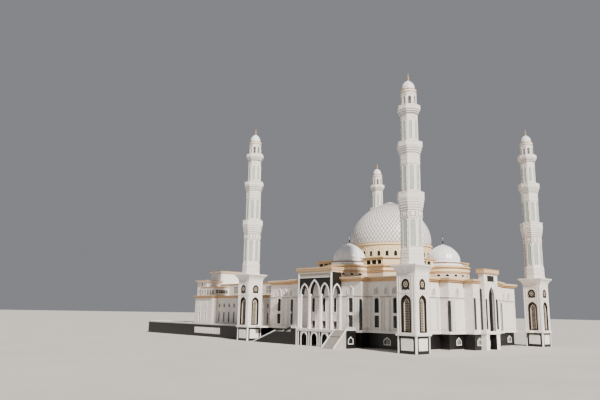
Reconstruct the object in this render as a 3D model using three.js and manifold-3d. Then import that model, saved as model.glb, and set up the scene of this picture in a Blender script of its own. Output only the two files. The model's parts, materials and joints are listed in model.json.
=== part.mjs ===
// A mosque at a tenth of its real size, in millimetres. The ground is z 0 and the origin lies under the
// middle of the main dome. The front with the open portico faces -Y, the small portal faces +X, and a
// lower wing runs off to -X. Four minarets stand free at the corners of the prayer hall.
import * as THREE from 'three';
import { mergeVertices } from 'three/addons/utils/BufferGeometryUtils.js';
import Module from 'manifold-3d';

const wasm = await Module();
wasm.setup();

// Levels above the ground
const slabTop = 20;
const podiumTop = 450;
const floorTop = 505;
const corniceBottom = 1900;
const corniceTop = 2030;
const corniceBands = [[0, 1900, 1940], [40, 1940, 1985], [75, 1985, 2030]];
const atticTop = 2480;
const atticRoofThick = 60;
const atticRoofOut = 45;
const galleryTop = 2720;
const galleryRoofThick = 40;
const galleryRoofOut = 35;
const galleryGap = { x: [830, 1060, 1290], width: 170, low: 2500, high: 2630 };
const drumTop = 3250;

// Plan of the prayer hall: a square with a bay that stands forward on each side
const hallHalf = 2980;
const bayHalf = 1510;
const bayReach = 3290;
const wallThick = 60;
const podiumInset = 60;
const ledge = 30;

// Windows of the prayer hall: places along a side, widths and heights
const windowWidth = 170;
const bayWindowX = 1100;
const hallWindowX = [1830, 2515];
const lowWindow = [600, 945];
const highWindow = [1015, 1475];
const cornerSlit = { x: 1475, width: 70, low: 575, high: 1385 };
const podiumWindow = { front: [2160], side: [990, 2585], width: 170, low: 135, high: 335 };
const roundWindow = { width: 110, low: 2157, high: 2232, turn: 19.5 };
const drumWindow = { width: 88, low: 2868, high: 3042, count: 32 };
const glassThick = 8;
const glassMargin = 30;

// Entrance front and its portico
const doorX = [-470, 0, 470];
const doorWidth = 170;
const doorTop = 745;
const porticoHalf = 720;
const porticoReach = 3700;
const columnX = [-640, -245, 245, 640];
const columnRadius = 24;
const arcadeDepth = 50;
const arcadeSpring = 1540;
const arcadeTop = { middle: 1955, side: 1850, flank: 1830 };
const lowerArchX = [-445, 0, 445];
const lowerArch = { width: 250, flank: 220, high: 390 };
const porticoBands = [[0, 2030, 2190], [35, 2190, 2260], [60, 2260, 2340]];

// Door leaves
const leafThick = 12;
const leafGap = 6;
const pinRadius = 3;
const pinGap = 0.3;

// Minarets
const minaretReach = 3493;
const minaretHalf = 300;
const minaretCapHalf = 410;
const minaretCapTop = 2260;
const minaretFlareTop = 2230;
const minaretThick = 100;
const minaretNiche = { depth: 60, width: 280, low: 530, spring: 1330, high: 1480 };
const minaretBore = 130;
const lanternArch = { width: 90, low: 6670, high: 6940 };
const lanternTop = 7010;
const cupolaBase = 7180;
const cupolaTop = 7450;
const finialTop = 7700;

// Domes
const domeRadius = 1420;
const domeTop = 4905;
const domeBand = 75;
const domeBandRadius = 1430;
const domeShell = 40;
const domeFoot = 0.97;
const smallDomeReach = 2150;
const smallDomeRadius = 530;
const smallDrumRadius = 780;
const smallDomeSides = 20;
const smallDomeBase = 2620;
const smallDomeTop = 3235;
const smallDomeShell = 25;
const smallFinialTop = 3600;
const tierHalf = 2170;
const tierFlat = 1430;
const drumRadius = 1400;
const drumSides = 64;
const domeSides = 40;
const drumNeck = 600;
const domeGap = 0.5;
const roofHoleOut = 100;
const galleryHole = 1370;
const domeJoint = 3700;

// Portals on the right and back sides
const portalReach = 3600;
const gatewayHalf = 385;
const gatewayReach = 3770;
const gatewayTop = 2350;
const gatewayCornice = 130;
const gatewayOut = 45;
const gatewayPier = 170;
const gatewayArch = { width: 370, spring: 1480, high: 1860 };
const portalSlitX = [-650, 650];
const portalSlit = { width: 85, low: 575, high: 1490 };
const portalWindowX = [-480, 480];
const gatewayGroove = { y: 3652, width: 80, depth: 40, high: 1780 };

// The wing and the low storey that runs on beyond it
const wingEnd = -7780;
const wingBay = -6530;
const wingHalf = 2800;
const wingBayReach = 3050;
const wingTop = 1580;
const wingStart = -3000;
const wingBands = [[0, 1480, 1520], [-35, 1520, 1555], [-60, 1555, 1580]];
const wingWindowX = [-6390, -6060, -5730, -5400, -5070, -4740, -4410, -4080, -3700, -3350];
const wingBayWindowX = [-7430, -6990];
const wingWindow = { width: 90, rows: [[570, 965], [1125, 1285]] };
const wingMiddleFloor = [990, 1030];
const upperTop = 2080;
const upperHalf = 2100;
const upperBlock = { x: [-7780, -6780], half: 2800, top: 1950 };
const upperWindow = { width: 300, low: 1680, high: 1960 };
const upperWindowX = [-6290, -5590, -4890, -4190];
const blockWindow = { width: 130, low: 1640, high: 1815 };
const blockWindowX = [-7660, -7470, -7280, -7090, -6900];
const towerFront = { y: [-2750, -2090], top: 2225 };
const towerBack = { y: [-2090, -700], top: 2645 };
const towerSide = -7430;
const towerEnd = -8150;
const towerCap = 90;
const towerOut = 90;
const terraceTop = 490;
const terraceHalf = 3300;
const armEnd = -11200;
const armDepth = 1200;

// Outside stairs of the front
const leftStairY = [-3770, -3400];
const leftPlatformX = -980;
const leftLandingX = -1750;
const leftLandingTop = 390;
const upperFlight = { steps: 7, run: 320 };
const lowerFlight = { steps: 24, tread: 46 };
const rightStairX = [860, 1330];
const rightFlight = { steps: 24, tread: 21 };

// Steps along each curve of an arch and of a flared cap
const archSteps = 3;
const flareSteps = [0, 0.25, 0.5, 0.75, 1];

// Shapes

// Makes a closed three.js geometry into a manifold solid.
function solid(geometry) {
  geometry.deleteAttribute('normal');
  geometry.deleteAttribute('uv');
  const merged = mergeVertices(geometry, 1e-3);
  const corners = merged.index.array;
  const triVerts = [];
  for (let i = 0; i < corners.length; i += 3) {
    const [a, b, c] = corners.slice(i, i + 3);
    if (a !== b && b !== c && a !== c) triVerts.push(a, b, c);
  }
  return new wasm.Manifold(new wasm.Mesh({
    numProp: 3,
    vertProperties: merged.attributes.position.array,
    triVerts: new Uint32Array(triVerts),
  }));
}

// Turns what was drawn upright in X and Y so that its height runs along Z.
const upright = new THREE.Matrix4().set(1, 0, 0, 0, 0, 0, -1, 0, 0, 1, 0, 0, 0, 0, 0, 1);

function block([x0, x1], [y0, y1], [z0, z1]) {
  const geometry = new THREE.BoxGeometry(x1 - x0, y1 - y0, z1 - z0);
  return solid(geometry.translate((x0 + x1) / 2, (y0 + y1) / 2, (z0 + z1) / 2));
}

function shapeOf(points) {
  return new THREE.Shape(points.map(([x, y]) => new THREE.Vector2(x, y)));
}

// A plan outline raised from z0 to z1.
function raised(shape, [z0, z1]) {
  const settings = { depth: z1 - z0, bevelEnabled: false, curveSegments: archSteps };
  return solid(new THREE.ExtrudeGeometry(shape, settings).translate(0, 0, z0));
}

// An upright outline, drawn in X and Z, run through from y0 to y1.
function through(shape, [y0, y1]) {
  const settings = { depth: y1 - y0, bevelEnabled: false, curveSegments: archSteps };
  return solid(new THREE.ExtrudeGeometry(shape, settings).applyMatrix4(upright).translate(0, y1, 0));
}

// A profile of radius and height pairs turned about the Z axis.
function turned(profile, sides, start = 0) {
  const points = profile.map(([r, z]) => new THREE.Vector2(r, z));
  if (THREE.ShapeUtils.area(points) < 0) points.reverse();
  if (points[0].x > 0 || points.at(-1).x > 0) points.push(points[0].clone());
  return solid(new THREE.LatheGeometry(points, sides, start).applyMatrix4(upright));
}

// An eight-sided profile given by the distance of its flat sides, with flats towards X and Y.
function octagonal(profile) {
  const corner = 1 / Math.cos(Math.PI / 8);
  return turned(profile.map(([r, z]) => [r * corner, z]), 8, Math.PI / 8);
}

function squareTurned(profile) {
  return turned(profile.map(([r, z]) => [r * Math.SQRT2, z]), 4, Math.PI / 4);
}

function joined(parts) {
  return parts.reduce((sum, part) => sum.add(part));
}

function cut(body, cutters) {
  return cutters.reduce((rest, cutter) => rest.subtract(cutter), body);
}

// The pointed arch that the building repeats: straight sides, then two curves that meet in a point.
function archShape(x, width, low, spring, high) {
  const half = width / 2;
  const shape = new THREE.Shape();
  shape.moveTo(x - half, low);
  shape.lineTo(x + half, low);
  shape.lineTo(x + half, spring);
  shape.quadraticCurveTo(x + half, spring + (high - spring) * 0.7, x, high);
  shape.quadraticCurveTo(x - half, spring + (high - spring) * 0.7, x - half, spring);
  return shape;
}

function archCutter(x, width, [low, high], depth) {
  return through(archShape(x, width, low, high - width * 0.6, high), depth);
}

function quarterTurns(body, count) {
  return body.rotate([0, 0, 90 * count]);
}

function mirrored(body) {
  return body.mirror([1, 0, 0]);
}

// Outline of the hall at a distance outside its walls, or inside them where it is negative.
function hallOutline(out) {
  const h = hallHalf + out;
  const b = bayHalf + out;
  const r = bayReach + out;
  const corner = [[-h, -h], [-b, -h], [-b, -r], [b, -r], [b, -h]];
  const outline = [];
  for (let side = 0; side < 4; side += 1) {
    for (const [x, y] of corner) {
      if (side === 0) outline.push([x, y]);
      if (side === 1) outline.push([-y, x]);
      if (side === 2) outline.push([-x, -y]);
      if (side === 3) outline.push([y, -x]);
    }
  }
  return shapeOf(outline);
}

function hallRing(out, thick, levels) {
  const [low, high] = levels;
  return raised(hallOutline(out), levels).subtract(raised(hallOutline(out - thick), [low - 1, high + 1]));
}

// Materials from the photograph
const materials = {
  marble: { color: 0xe6e1dc, roughness: 0.5, metalness: 0 },
  granite: { color: 0x26282a, roughness: 0.25, metalness: 0 },
  gold: { color: 0xc59a5c, roughness: 0.45, metalness: 0.2 },
  cream: { color: 0xe4cfa8, roughness: 0.6, metalness: 0 },
  dome: { color: 0xe9e7e6, roughness: 0.4, metalness: 0 },
  glass: { color: 0x4a5a58, roughness: 0.1, metalness: 0 },
  door: { color: 0x3a2a20, roughness: 0.5, metalness: 0 },
  stone: { color: 0xb9b4ae, roughness: 0.7, metalness: 0 },
};

const mosque = new THREE.Group();

function add(name, body, material, position = [0, 0, 0]) {
  const made = body.getMesh();
  const geometry = new THREE.BufferGeometry();
  geometry.setAttribute('position', new THREE.BufferAttribute(made.vertProperties, 3));
  geometry.setIndex(new THREE.BufferAttribute(made.triVerts, 1));
  geometry.computeVertexNormals();
  const mesh = new THREE.Mesh(geometry, new THREE.MeshStandardMaterial(materials[material]));
  mesh.name = name;
  mesh.position.set(...position);
  mosque.add(mesh);
}

// Podium storey: a slab on the ground and black granite walls under the ledge

function groundFloor() {
  return raised(hallOutline(-podiumInset), [0, slabTop]);
}

function podiumWalls() {
  const { width, low, high } = podiumWindow;
  const ring = hallRing(-podiumInset, wallThick, [slabTop, podiumTop]);
  const cutters = [];
  const places = [podiumWindow.front, podiumWindow.side, podiumWindow.side];
  places.forEach((xs, side) => {
    for (const x of xs) {
      const face = podiumInset - (x < bayHalf ? bayReach : hallHalf);
      const cutter = archCutter(x, width, [low, high], [face - 1, face + wallThick + 1]);
      cutters.push(quarterTurns(cutter, side), quarterTurns(mirrored(cutter), side));
    }
  });
  return cut(ring, cutters);
}

// Main floor: the ledge that carries the walls and links the minarets to the hall
function mainFloor() {
  const levels = [podiumTop, floorTop];
  const plates = [raised(hallOutline(ledge), levels)];
  const near = hallHalf - wallThick;
  const plateHalf = minaretHalf + ledge;
  const portalEdge = porticoHalf + ledge;
  for (let side = 0; side < 4; side += 1) {
    const reach = [minaretReach - plateHalf, minaretReach + plateHalf];
    const link = block([near, minaretReach], [-minaretReach, -near], levels);
    plates.push(quarterTurns(block(reach, [-reach[1], -reach[0]], levels), side), quarterTurns(link, side));
  }
  plates.push(block([-portalEdge, portalEdge], [-porticoReach - ledge, -near], levels));
  const bay = block([-portalEdge, portalEdge], [-portalReach, -near], levels);
  const gateEdge = gatewayHalf + ledge;
  const gate = block([-gateEdge, gateEdge], [-gatewayReach - ledge, -near], levels);
  for (const side of [1, 2]) plates.push(quarterTurns(bay, side), quarterTurns(gate, side));
  return joined(plates);
}

// Prayer hall walls

function throughWall(reach) {
  return [-reach - 1, -reach + wallThick + 1];
}

function hallWindows() {
  const cutters = doorX.map((x) => archCutter(x, windowWidth * 0.7, highWindow, throughWall(bayReach)));
  for (const x of [bayWindowX, ...hallWindowX]) {
    const depth = throughWall(x < bayHalf ? bayReach : hallHalf);
    const upper = archCutter(x, windowWidth, highWindow, depth);
    const lower = block([x - windowWidth / 2, x + windowWidth / 2], depth, lowWindow);
    cutters.push(upper, mirrored(upper), lower, mirrored(lower));
  }
  const { x, width, low, high } = cornerSlit;
  const slit = archCutter(x, width, [low, high], throughWall(bayReach));
  for (const side of [0, 1, 2]) cutters.push(quarterTurns(slit, side), quarterTurns(mirrored(slit), side));
  return cutters;
}

function addHallWalls() {
  const levels = [floorTop, corniceBottom];
  const ring = cut(hallRing(0, wallThick, levels), hallWindows());
  const far = bayReach + 1;
  const sideEdge = hallHalf - wallThick;
  const doorsEnd = doorX[2] + doorWidth / 2;
  const front = [-far, -sideEdge];
  const tall = [floorTop - 1, corniceBottom + 1];
  add('front_wall_left', ring.intersect(block([-far, -doorsEnd], front, tall)), 'marble');
  add('front_wall_right', ring.intersect(block([doorsEnd, far], front, tall)), 'marble');
  const above = [doorTop, corniceBottom + 1];
  add('front_wall_over_doors', ring.intersect(block([-doorsEnd, doorsEnd], front, above)), 'marble');
  const piers = [['left', doorX[0], doorX[1]], ['right', doorX[1], doorX[2]]];
  for (const [name, from, to] of piers) {
    const width = [from + doorWidth / 2, to - doorWidth / 2];
    const pier = block(width, [-bayReach, -bayReach + wallThick], [floorTop, doorTop]);
    add(`door_pier_${name}`, pier, 'marble');
  }
  add('back_wall', ring.intersect(block([-far, far], [sideEdge, far], tall)), 'marble');
  add('right_wall', ring.intersect(block([sideEdge, far], [-sideEdge, sideEdge], tall)), 'marble');
  add('left_wall', ring.intersect(block([-far, -sideEdge], [-sideEdge, sideEdge], tall)), 'marble');
}

// A band of glass stands just inside the walls, behind both rows of windows; none on the wing's side.
function windowGlass() {
  const sheet = hallRing(-wallThick - pinGap, glassThick,
    [lowWindow[0] - glassMargin, highWindow[1] + glassMargin]);
  const doorsEnd = doorX[2] + doorWidth / 2 + glassMargin;
  const doorway = block([-doorsEnd, doorsEnd], [-bayReach, -hallHalf], [0, doorTop + glassMargin]);
  const wingSide = block([-bayReach, glassMargin - hallHalf + wallThick], [-hallHalf, hallHalf],
    [0, corniceBottom]);
  return cut(sheet, [doorway, wingSide]);
}

// Door leaves: each turns inward on a pin at its jamb
function doorLeaf(hand) {
  const width = doorWidth / 2 - leafGap * 1.5;
  const height = [floorTop + leafGap, doorTop - leafGap];
  const leaf = block(hand > 0 ? [-width, 0] : [0, width], [-leafThick, 0], height);
  const [low, high] = [floorTop + pinGap, doorTop - pinGap];
  const pin = turned([[0, low], [pinRadius, low], [pinRadius, high], [0, high]], 12);
  return leaf.add(pin.translate([hand > 0 ? -pinRadius : pinRadius, -leafThick / 2, 0]));
}

function addDoors() {
  const inside = -bayReach + wallThick;
  ['left', 'middle', 'right'].forEach((place, i) => {
    for (const [hand, side] of [[-1, 'left'], [1, 'right']]) {
      const hinge = doorX[i] + hand * (doorWidth / 2 - leafGap);
      add(`${place}_door_${side}_leaf`, doorLeaf(hand), 'door', [hinge, inside, 0]);
    }
  });
}

// Roof of the hall with its gold cornice, open under the domed middle

// A square tier with its corners cut off, at a distance outside its walls.
function tierOutline(out) {
  const side = tierHalf + out;
  const flat = tierFlat + out;
  return shapeOf([[-flat, -side], [flat, -side], [side, -flat], [side, flat],
    [flat, side], [-flat, side], [-side, flat], [-side, -flat]]);
}

function roundBlock(radius, [low, high], sides) {
  return turned([[0, low], [radius, low], [radius, high], [0, high]], sides, Math.PI / sides);
}

// One piece placed under each small dome, on all four sides.
function onFourSides(body) {
  const placed = body.translate([0, -smallDomeReach, 0]);
  return [0, 1, 2, 3].map((side) => quarterTurns(placed, side));
}

// The attic's plan: the tier with a round bay under each small dome.
function atticPlan(out, levels) {
  return joined([raised(tierOutline(out), levels),
    ...onFourSides(roundBlock(smallDrumRadius + out, levels, 32))]);
}

function hallRoof() {
  const roof = joined(corniceBands.map(([out, low, high]) => raised(hallOutline(out), [low, high])));
  const levels = [corniceBottom - 1, corniceTop + 1];
  const behindPortico = block([-porticoHalf, porticoHalf], [-porticoReach, -bayReach], levels);
  return cut(roof, [atticPlan(-wallThick - 20, levels), behindPortico]);
}

function atticWall() {
  const levels = [corniceTop, atticTop - atticRoofThick];
  const { width, low, high, turn } = roundWindow;
  const ring = atticPlan(0, levels).subtract(atticPlan(-wallThick, [levels[0] - 1, levels[1] + 1]));
  const depth = [-smallDrumRadius - 10, -smallDrumRadius + wallThick + 10];
  const window = archCutter(0, width, [low, high], depth);
  const cutters = [-3.5, -2.5, -1.5, -0.5, 0.5, 1.5, 2.5, 3.5].flatMap((step) =>
    onFourSides(window.rotate([0, 0, turn * step])));
  return cut(ring, cutters);
}

function atticRoof() {
  const slab = atticPlan(atticRoofOut, [atticTop - atticRoofThick, atticTop]);
  const depth = [atticTop - atticRoofThick - 1, atticTop + 1];
  return cut(slab, [roundBlock(drumRadius + roofHoleOut, depth, domeSides),
    ...onFourSides(roundBlock(smallDomeRadius - 40, depth, smallDomeSides))]);
}

// The gallery tier that carries the drum: hollow below its roof, with three gaps between posts beside
// each small dome
function galleryTier() {
  const wallTop = galleryTop - galleryRoofThick;
  const tier = raised(tierOutline(0), [atticTop, wallTop])
    .add(raised(tierOutline(galleryRoofOut), [wallTop, galleryTop]));
  const room = raised(tierOutline(-wallThick), [atticTop - 1, wallTop - 20]);
  const depth = [atticTop - 2, galleryTop + 1];
  const { x, width, low, high } = galleryGap;
  const gaps = x.flatMap((middle) => {
    const gap = block([middle - width / 2, middle + width / 2],
      [-tierHalf - 1, -tierHalf + wallThick + 1], [low, high]);
    return [0, 1, 2, 3].flatMap((side) => [quarterTurns(gap, side), quarterTurns(mirrored(gap), side)]);
  });
  return cut(tier, [room, roundBlock(galleryHole, depth, drumSides), ...gaps,
    ...onFourSides(roundBlock(drumNeck + domeGap, depth, smallDomeSides))]);
}

function drum() {
  const wall = turned([[drumRadius, galleryTop], [drumRadius, drumTop], [drumRadius - wallThick, drumTop],
    [drumRadius - wallThick, galleryTop]], drumSides, Math.PI / drumSides);
  const { width, low, high, count } = drumWindow;
  const window = archCutter(0, width, [low, high], [-drumRadius - 10, -drumRadius + wallThick + 20]);
  const cutters = [];
  for (let i = 0; i < count; i += 1) cutters.push(window.rotate([0, 0, (360 / count) * i]));
  return cut(wall, cutters);
}

// Half-profile of a dome that swells a little above its base and ends in a soft point.
function domeProfile(radius, low, high, steps) {
  const curve = new THREE.CubicBezierCurve(
    new THREE.Vector2(radius * domeFoot, low),
    new THREE.Vector2(radius * 1.06, low + (high - low) * 0.42),
    new THREE.Vector2(radius * 0.62, low + (high - low) * 0.86),
    new THREE.Vector2(0, high),
  );
  return curve.getPoints(steps).map((point) => [Math.max(0, point.x), point.y]);
}

// The main dome's shell, of which the foot below the joint and the cap above it are two pieces
function mainDome() {
  const bandTop = drumTop + domeBand;
  const outside = domeProfile(domeRadius, bandTop, domeTop, 12);
  const inside = domeProfile(domeRadius - domeShell, bandTop, domeTop - domeShell, 6).reverse();
  const foot = [[domeRadius * domeFoot - domeShell, drumTop], [domeBandRadius, drumTop],
    [domeBandRadius, bandTop]];
  return turned([...inside, ...foot, ...outside], domeSides);
}

function smallDome() {
  const apex = smallDomeTop;
  const foot = smallDomeBase + 30;
  const outside = domeProfile(smallDomeRadius, foot, apex, 7);
  outside.pop();
  const innerRadius = smallDomeRadius - smallDomeShell;
  const inside = domeProfile(innerRadius, foot, apex - smallDomeShell, 3).reverse();
  const drumSteps = [[innerRadius - 15, atticTop], [drumNeck, atticTop], [drumNeck, smallDomeBase - 20],
    [drumNeck - 15, smallDomeBase]];
  const finial = [[10, apex + 4], [10, apex + 60], [26, apex + 90], [8, apex + 120], [0, smallFinialTop]];
  return turned([...inside, ...drumSteps, ...outside, ...finial], smallDomeSides, Math.PI / smallDomeSides);
}

// Front portico

function porticoBase() {
  const levels = [0, podiumTop];
  const back = -bayReach + podiumInset;
  const outer = block([-porticoHalf, porticoHalf], [-porticoReach, back], levels);
  const inner = block([-porticoHalf + wallThick, porticoHalf - wallThick],
    [-porticoReach + wallThick, back + 1], [-1, podiumTop + 1]);
  const opening = [-1, lowerArch.high];
  const depth = [-porticoReach - 1, -porticoReach + wallThick + 1];
  const cutters = lowerArchX.map((x) => archCutter(x, lowerArch.width, opening, depth));
  const middle = (porticoReach + bayReach) / 2;
  const flank = archCutter(middle, lowerArch.flank, opening, [-porticoHalf - 1, porticoHalf + 1]);
  return cut(outer.subtract(inner), [...cutters, quarterTurns(flank, 3)]);
}

function archBay(x, width, spring, high, depth) {
  return through(archShape(x, width, floorTop - 1, spring, high), depth);
}

function porticoArcade() {
  const front = [-porticoReach, -porticoReach + arcadeDepth];
  const deep = [front[0] - 1, front[1] + 1];
  const levels = [floorTop, corniceTop];
  const slab = block([-porticoHalf, porticoHalf], front, levels);
  const bays = [arcadeTop.side, arcadeTop.middle, arcadeTop.side].map((top, i) => {
    const width = columnX[i + 1] - columnX[i] - columnRadius * 2;
    return archBay((columnX[i] + columnX[i + 1]) / 2, width, arcadeSpring, top, deep);
  });
  const flankWidth = porticoReach - bayReach - arcadeDepth - columnRadius;
  const flankMiddle = (porticoReach - arcadeDepth + bayReach + columnRadius) / 2;
  const across = [-porticoHalf - 1, porticoHalf + 1];
  const flankBay = quarterTurns(archBay(flankMiddle, flankWidth, arcadeSpring, arcadeTop.flank, across), 3);
  const flanks = [-1, 1].map((hand) => {
    const x = [porticoHalf - arcadeDepth, porticoHalf].map((edge) => edge * hand).sort((a, b) => a - b);
    return block(x, [front[0], -bayReach], levels);
  });
  return cut(joined([slab, ...flanks]), [...bays, flankBay]);
}

function porticoRoof() {
  return joined(porticoBands.map(([out, low, high]) =>
    block([-porticoHalf - out, porticoHalf + out], [-porticoReach - out, -bayReach], [low, high])));
}

// Small portal, drawn facing -Y: a walled bay with a tall gateway before it

function portal() {
  const levels = [floorTop, corniceBottom];
  const outer = block([-porticoHalf, porticoHalf], [-portalReach, -bayReach], levels);
  const inner = block([-porticoHalf + wallThick, porticoHalf - wallThick],
    [-portalReach + wallThick, -bayReach + 1], [floorTop - 1, corniceBottom + 1]);
  const walls = outer.subtract(inner);
  const roof = joined(corniceBands.map(([out, low, high]) =>
    block([-porticoHalf - out, porticoHalf + out], [-portalReach - out, -bayReach], [low, high])));
  const gateBand = (out, low, high) =>
    block([-gatewayHalf - out, gatewayHalf + out], [-gatewayReach - out, -portalReach + 1], [low, high]);
  const gateLow = gatewayTop - gatewayCornice;
  const gate = gateBand(0, floorTop, gateLow).add(gateBand(gatewayOut, gateLow, gatewayTop));
  const { width, spring, high } = gatewayArch;
  const arch = archBay(0, width, spring, high, [-gatewayReach - 1, -portalReach]);
  const slits = portalSlitX.map((x) =>
    archCutter(x, portalSlit.width, [portalSlit.low, portalSlit.high], throughWall(portalReach)));
  const groove = quarterTurns(archCutter(gatewayGroove.y, gatewayGroove.width,
    [portalSlit.low, gatewayGroove.high], [-gatewayHalf - 1, -gatewayHalf + gatewayGroove.depth]), 3);
  const hollow = hallRing(75, 400, [corniceBottom - 1, corniceTop + 1]);
  return cut(joined([walls, roof.subtract(hollow), gate]), [arch, ...slits, groove, mirrored(groove)]);
}

function portalBase() {
  const levels = [0, podiumTop];
  const back = -bayReach + podiumInset;
  const outer = block([-porticoHalf, porticoHalf], [-portalReach, back], levels);
  const inner = block([-porticoHalf + wallThick, porticoHalf - wallThick],
    [-portalReach + wallThick, back + 1], [-1, podiumTop + 1]);
  const piers = [-1, 1].map((hand) => {
    const x = [gatewayHalf, gatewayHalf - gatewayPier].map((edge) => edge * hand).sort((a, b) => a - b);
    return block(x, [-gatewayReach, -portalReach + 1], levels);
  });
  const { width, low, high } = podiumWindow;
  const windows = portalWindowX.map((x) => archCutter(x, width, [low, high], throughWall(portalReach)));
  return cut(joined([outer.subtract(inner), ...piers]), windows);
}

// Minarets

function minaretPodium() {
  const half = minaretHalf - 15;
  const hollow = half - wallThick;
  return block([-half, half], [-half, half], [0, podiumTop])
    .subtract(block([-hollow, hollow], [-hollow, hollow], [-1, podiumTop + 1]));
}

// The square block with a blind arch on each face and the flared cap that carries the shaft.
function minaretBase() {
  const hollow = minaretHalf - minaretThick;
  const ceiling = corniceTop - minaretThick;
  const tube = block([-minaretHalf, minaretHalf], [-minaretHalf, minaretHalf], [floorTop, corniceTop])
    .subtract(block([-hollow, hollow], [-hollow, hollow], [floorTop - 1, ceiling]));
  const flare = flareSteps.map((t) => [minaretHalf + (minaretCapHalf - minaretHalf) * t * t,
    corniceTop + (minaretFlareTop - corniceTop) * t]);
  const cap = squareTurned([[0, corniceTop - 1], [minaretHalf, corniceTop - 1], ...flare,
    [minaretCapHalf, minaretCapTop], [0, minaretCapTop]]);
  const bore = octagonal([[0, ceiling - 1], [minaretBore, ceiling - 1],
    [minaretBore, minaretCapTop + 1], [0, minaretCapTop + 1]]);
  const { depth, width, low, spring, high } = minaretNiche;
  const arch = through(archShape(0, width, low, spring, high), [-minaretHalf - 1, -minaretHalf + depth]);
  const arches = [0, 1, 2, 3].map((side) => quarterTurns(arch, side));
  return cut(tube.add(cap), [bore, ...arches]);
}

// The eight-sided shaft in three stages, each with a balcony, and the open lantern above them.
function minaretShaft() {
  const outside = [
    [315, minaretCapTop], [315, 2300], [292, 2340], [292, 2640], [273, 2690], [273, 3500], [282, 3510],
    [282, 3690], [310, 3830], [338, 4010], [338, 4200], [322, 4200], [322, 4070], [245, 4070], [245, 4980],
    [254, 4990], [254, 5250], [322, 5470], [322, 5610], [308, 5610], [308, 5500], [220, 5500], [220, 6405],
    [292, 6540], [292, 6660], [280, 6660], [280, 6570], [200, 6570], [200, lanternTop],
    [minaretBore, lanternTop]];
  const shaft = octagonal([...outside, [minaretBore, minaretCapTop]]);
  const cutters = [];
  for (let i = 0; i < 4; i += 1) {
    const window = archCutter(0, lanternArch.width, [lanternArch.low, lanternArch.high], [-220, 220]);
    cutters.push(window.rotate([0, 0, 45 * i]));
  }
  return cut(shaft, cutters);
}

function minaretCupola() {
  const inside = domeProfile(140, cupolaBase, cupolaTop - 50, 3).reverse();
  const outside = domeProfile(172, cupolaBase, cupolaTop, 5);
  outside.pop();
  const cornice = [[minaretBore, lanternTop], [205, lanternTop], [218, 7060], [218, 7150], [180, 7165]];
  const finial = [[10, 7452], [10, 7490], [28, 7520], [9, 7550], [0, finialTop]];
  return turned([...inside, ...cornice, ...outside, ...finial], 12, Math.PI / 12);
}

function addMinarets() {
  const corners = [['front_left', -1, -1], ['front_right', 1, -1],
    ['back_right', 1, 1], ['back_left', -1, 1]];
  const pieces = [['podium', minaretPodium(), 'granite'], ['base', minaretBase(), 'marble'],
    ['shaft', minaretShaft(), 'marble'], ['cupola', minaretCupola(), 'dome']];
  for (const [corner, x, y] of corners) {
    for (const [piece, body, material] of pieces) {
      add(`minaret_${corner}_${piece}`, body, material, [x * minaretReach, y * minaretReach, 0]);
    }
  }
}

// Outside stairs of the front, as solid flights of steps

// Outline of a flight in X and Z that falls towards -X from its top step.
function flightShape(top, high, low, steps, tread) {
  const rise = (high - low) / steps;
  const points = [[top, low], [top, high]];
  for (let i = 1; i < steps; i += 1) {
    const x = top - tread * i;
    points.push([x, high - rise * (i - 1)], [x, high - rise * i]);
  }
  points.push([top - tread * steps, low + rise], [top - tread * steps, low]);
  return shapeOf(points.reverse());
}

function leftStair() {
  const y = leftStairY;
  const top = leftPlatformX;
  const { steps, run } = upperFlight;
  const platform = block([top, -porticoHalf - ledge], y, [0, floorTop]);
  const upper = through(flightShape(top, floorTop, leftLandingTop, steps, run / steps), y);
  const landing = block([leftLandingX, top], y, [0, leftLandingTop]);
  const lowerShape = flightShape(leftLandingX, leftLandingTop, 0, lowerFlight.steps, lowerFlight.tread);
  const lower = through(lowerShape, y);
  return joined([platform, upper, landing, lower]);
}

function rightStair() {
  const top = -porticoReach - ledge;
  const [left, right] = rightStairX;
  const shape = flightShape(0, floorTop, 0, rightFlight.steps, rightFlight.tread);
  const flight = quarterTurns(through(shape, [-right, -left]), 1);
  const platform = block([porticoHalf + ledge, right], [top, -bayReach - ledge], [0, floorTop]);
  return flight.translate([0, top, 0]).add(platform);
}

// Wing

function wingOutline(inset) {
  const y = wingHalf - inset;
  const bay = wingBayReach - inset;
  return shapeOf([[wingEnd + inset, -bay], [wingBay - inset, -bay], [wingBay - inset, -y], [wingStart, -y],
    [wingStart, y], [wingBay - inset, y], [wingBay - inset, bay], [wingEnd + inset, bay]]);
}

function wingRing(inset, thick, [low, high]) {
  const start = block([wingStart - 1, wingStart + 1], [-wingHalf, wingHalf], [low - 1, high + 1]);
  return raised(wingOutline(inset), [low, high])
    .subtract(raised(wingOutline(inset + thick), [low - 1, high + 1]))
    .subtract(start);
}

function wingPodium() {
  const levels = [0, podiumTop];
  const deep = [-1, podiumTop + 1];
  const t = wallThick;
  const armY = [-terraceHalf, -terraceHalf + armDepth];
  const start = -minaretReach - minaretHalf + 15;
  const outer = block([towerEnd, start], [-terraceHalf, terraceHalf], levels)
    .add(block([armEnd, towerEnd + 1], armY, levels));
  const inner = block([towerEnd + t, start + 1], [-terraceHalf + t, terraceHalf - t], deep)
    .add(block([armEnd + t, towerEnd + t + 1], [armY[0] + t, armY[1] - t], deep));
  return outer.subtract(inner);
}

function wingTerrace() {
  const levels = [podiumTop, terraceTop];
  const armY = [-terraceHalf - ledge, -terraceHalf + armDepth + ledge];
  return block([towerEnd - ledge, wingStart], [-terraceHalf - ledge, terraceHalf + ledge], levels)
    .add(block([armEnd - ledge, towerEnd], armY, levels))
    .subtract(mainFloor());
}

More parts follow.
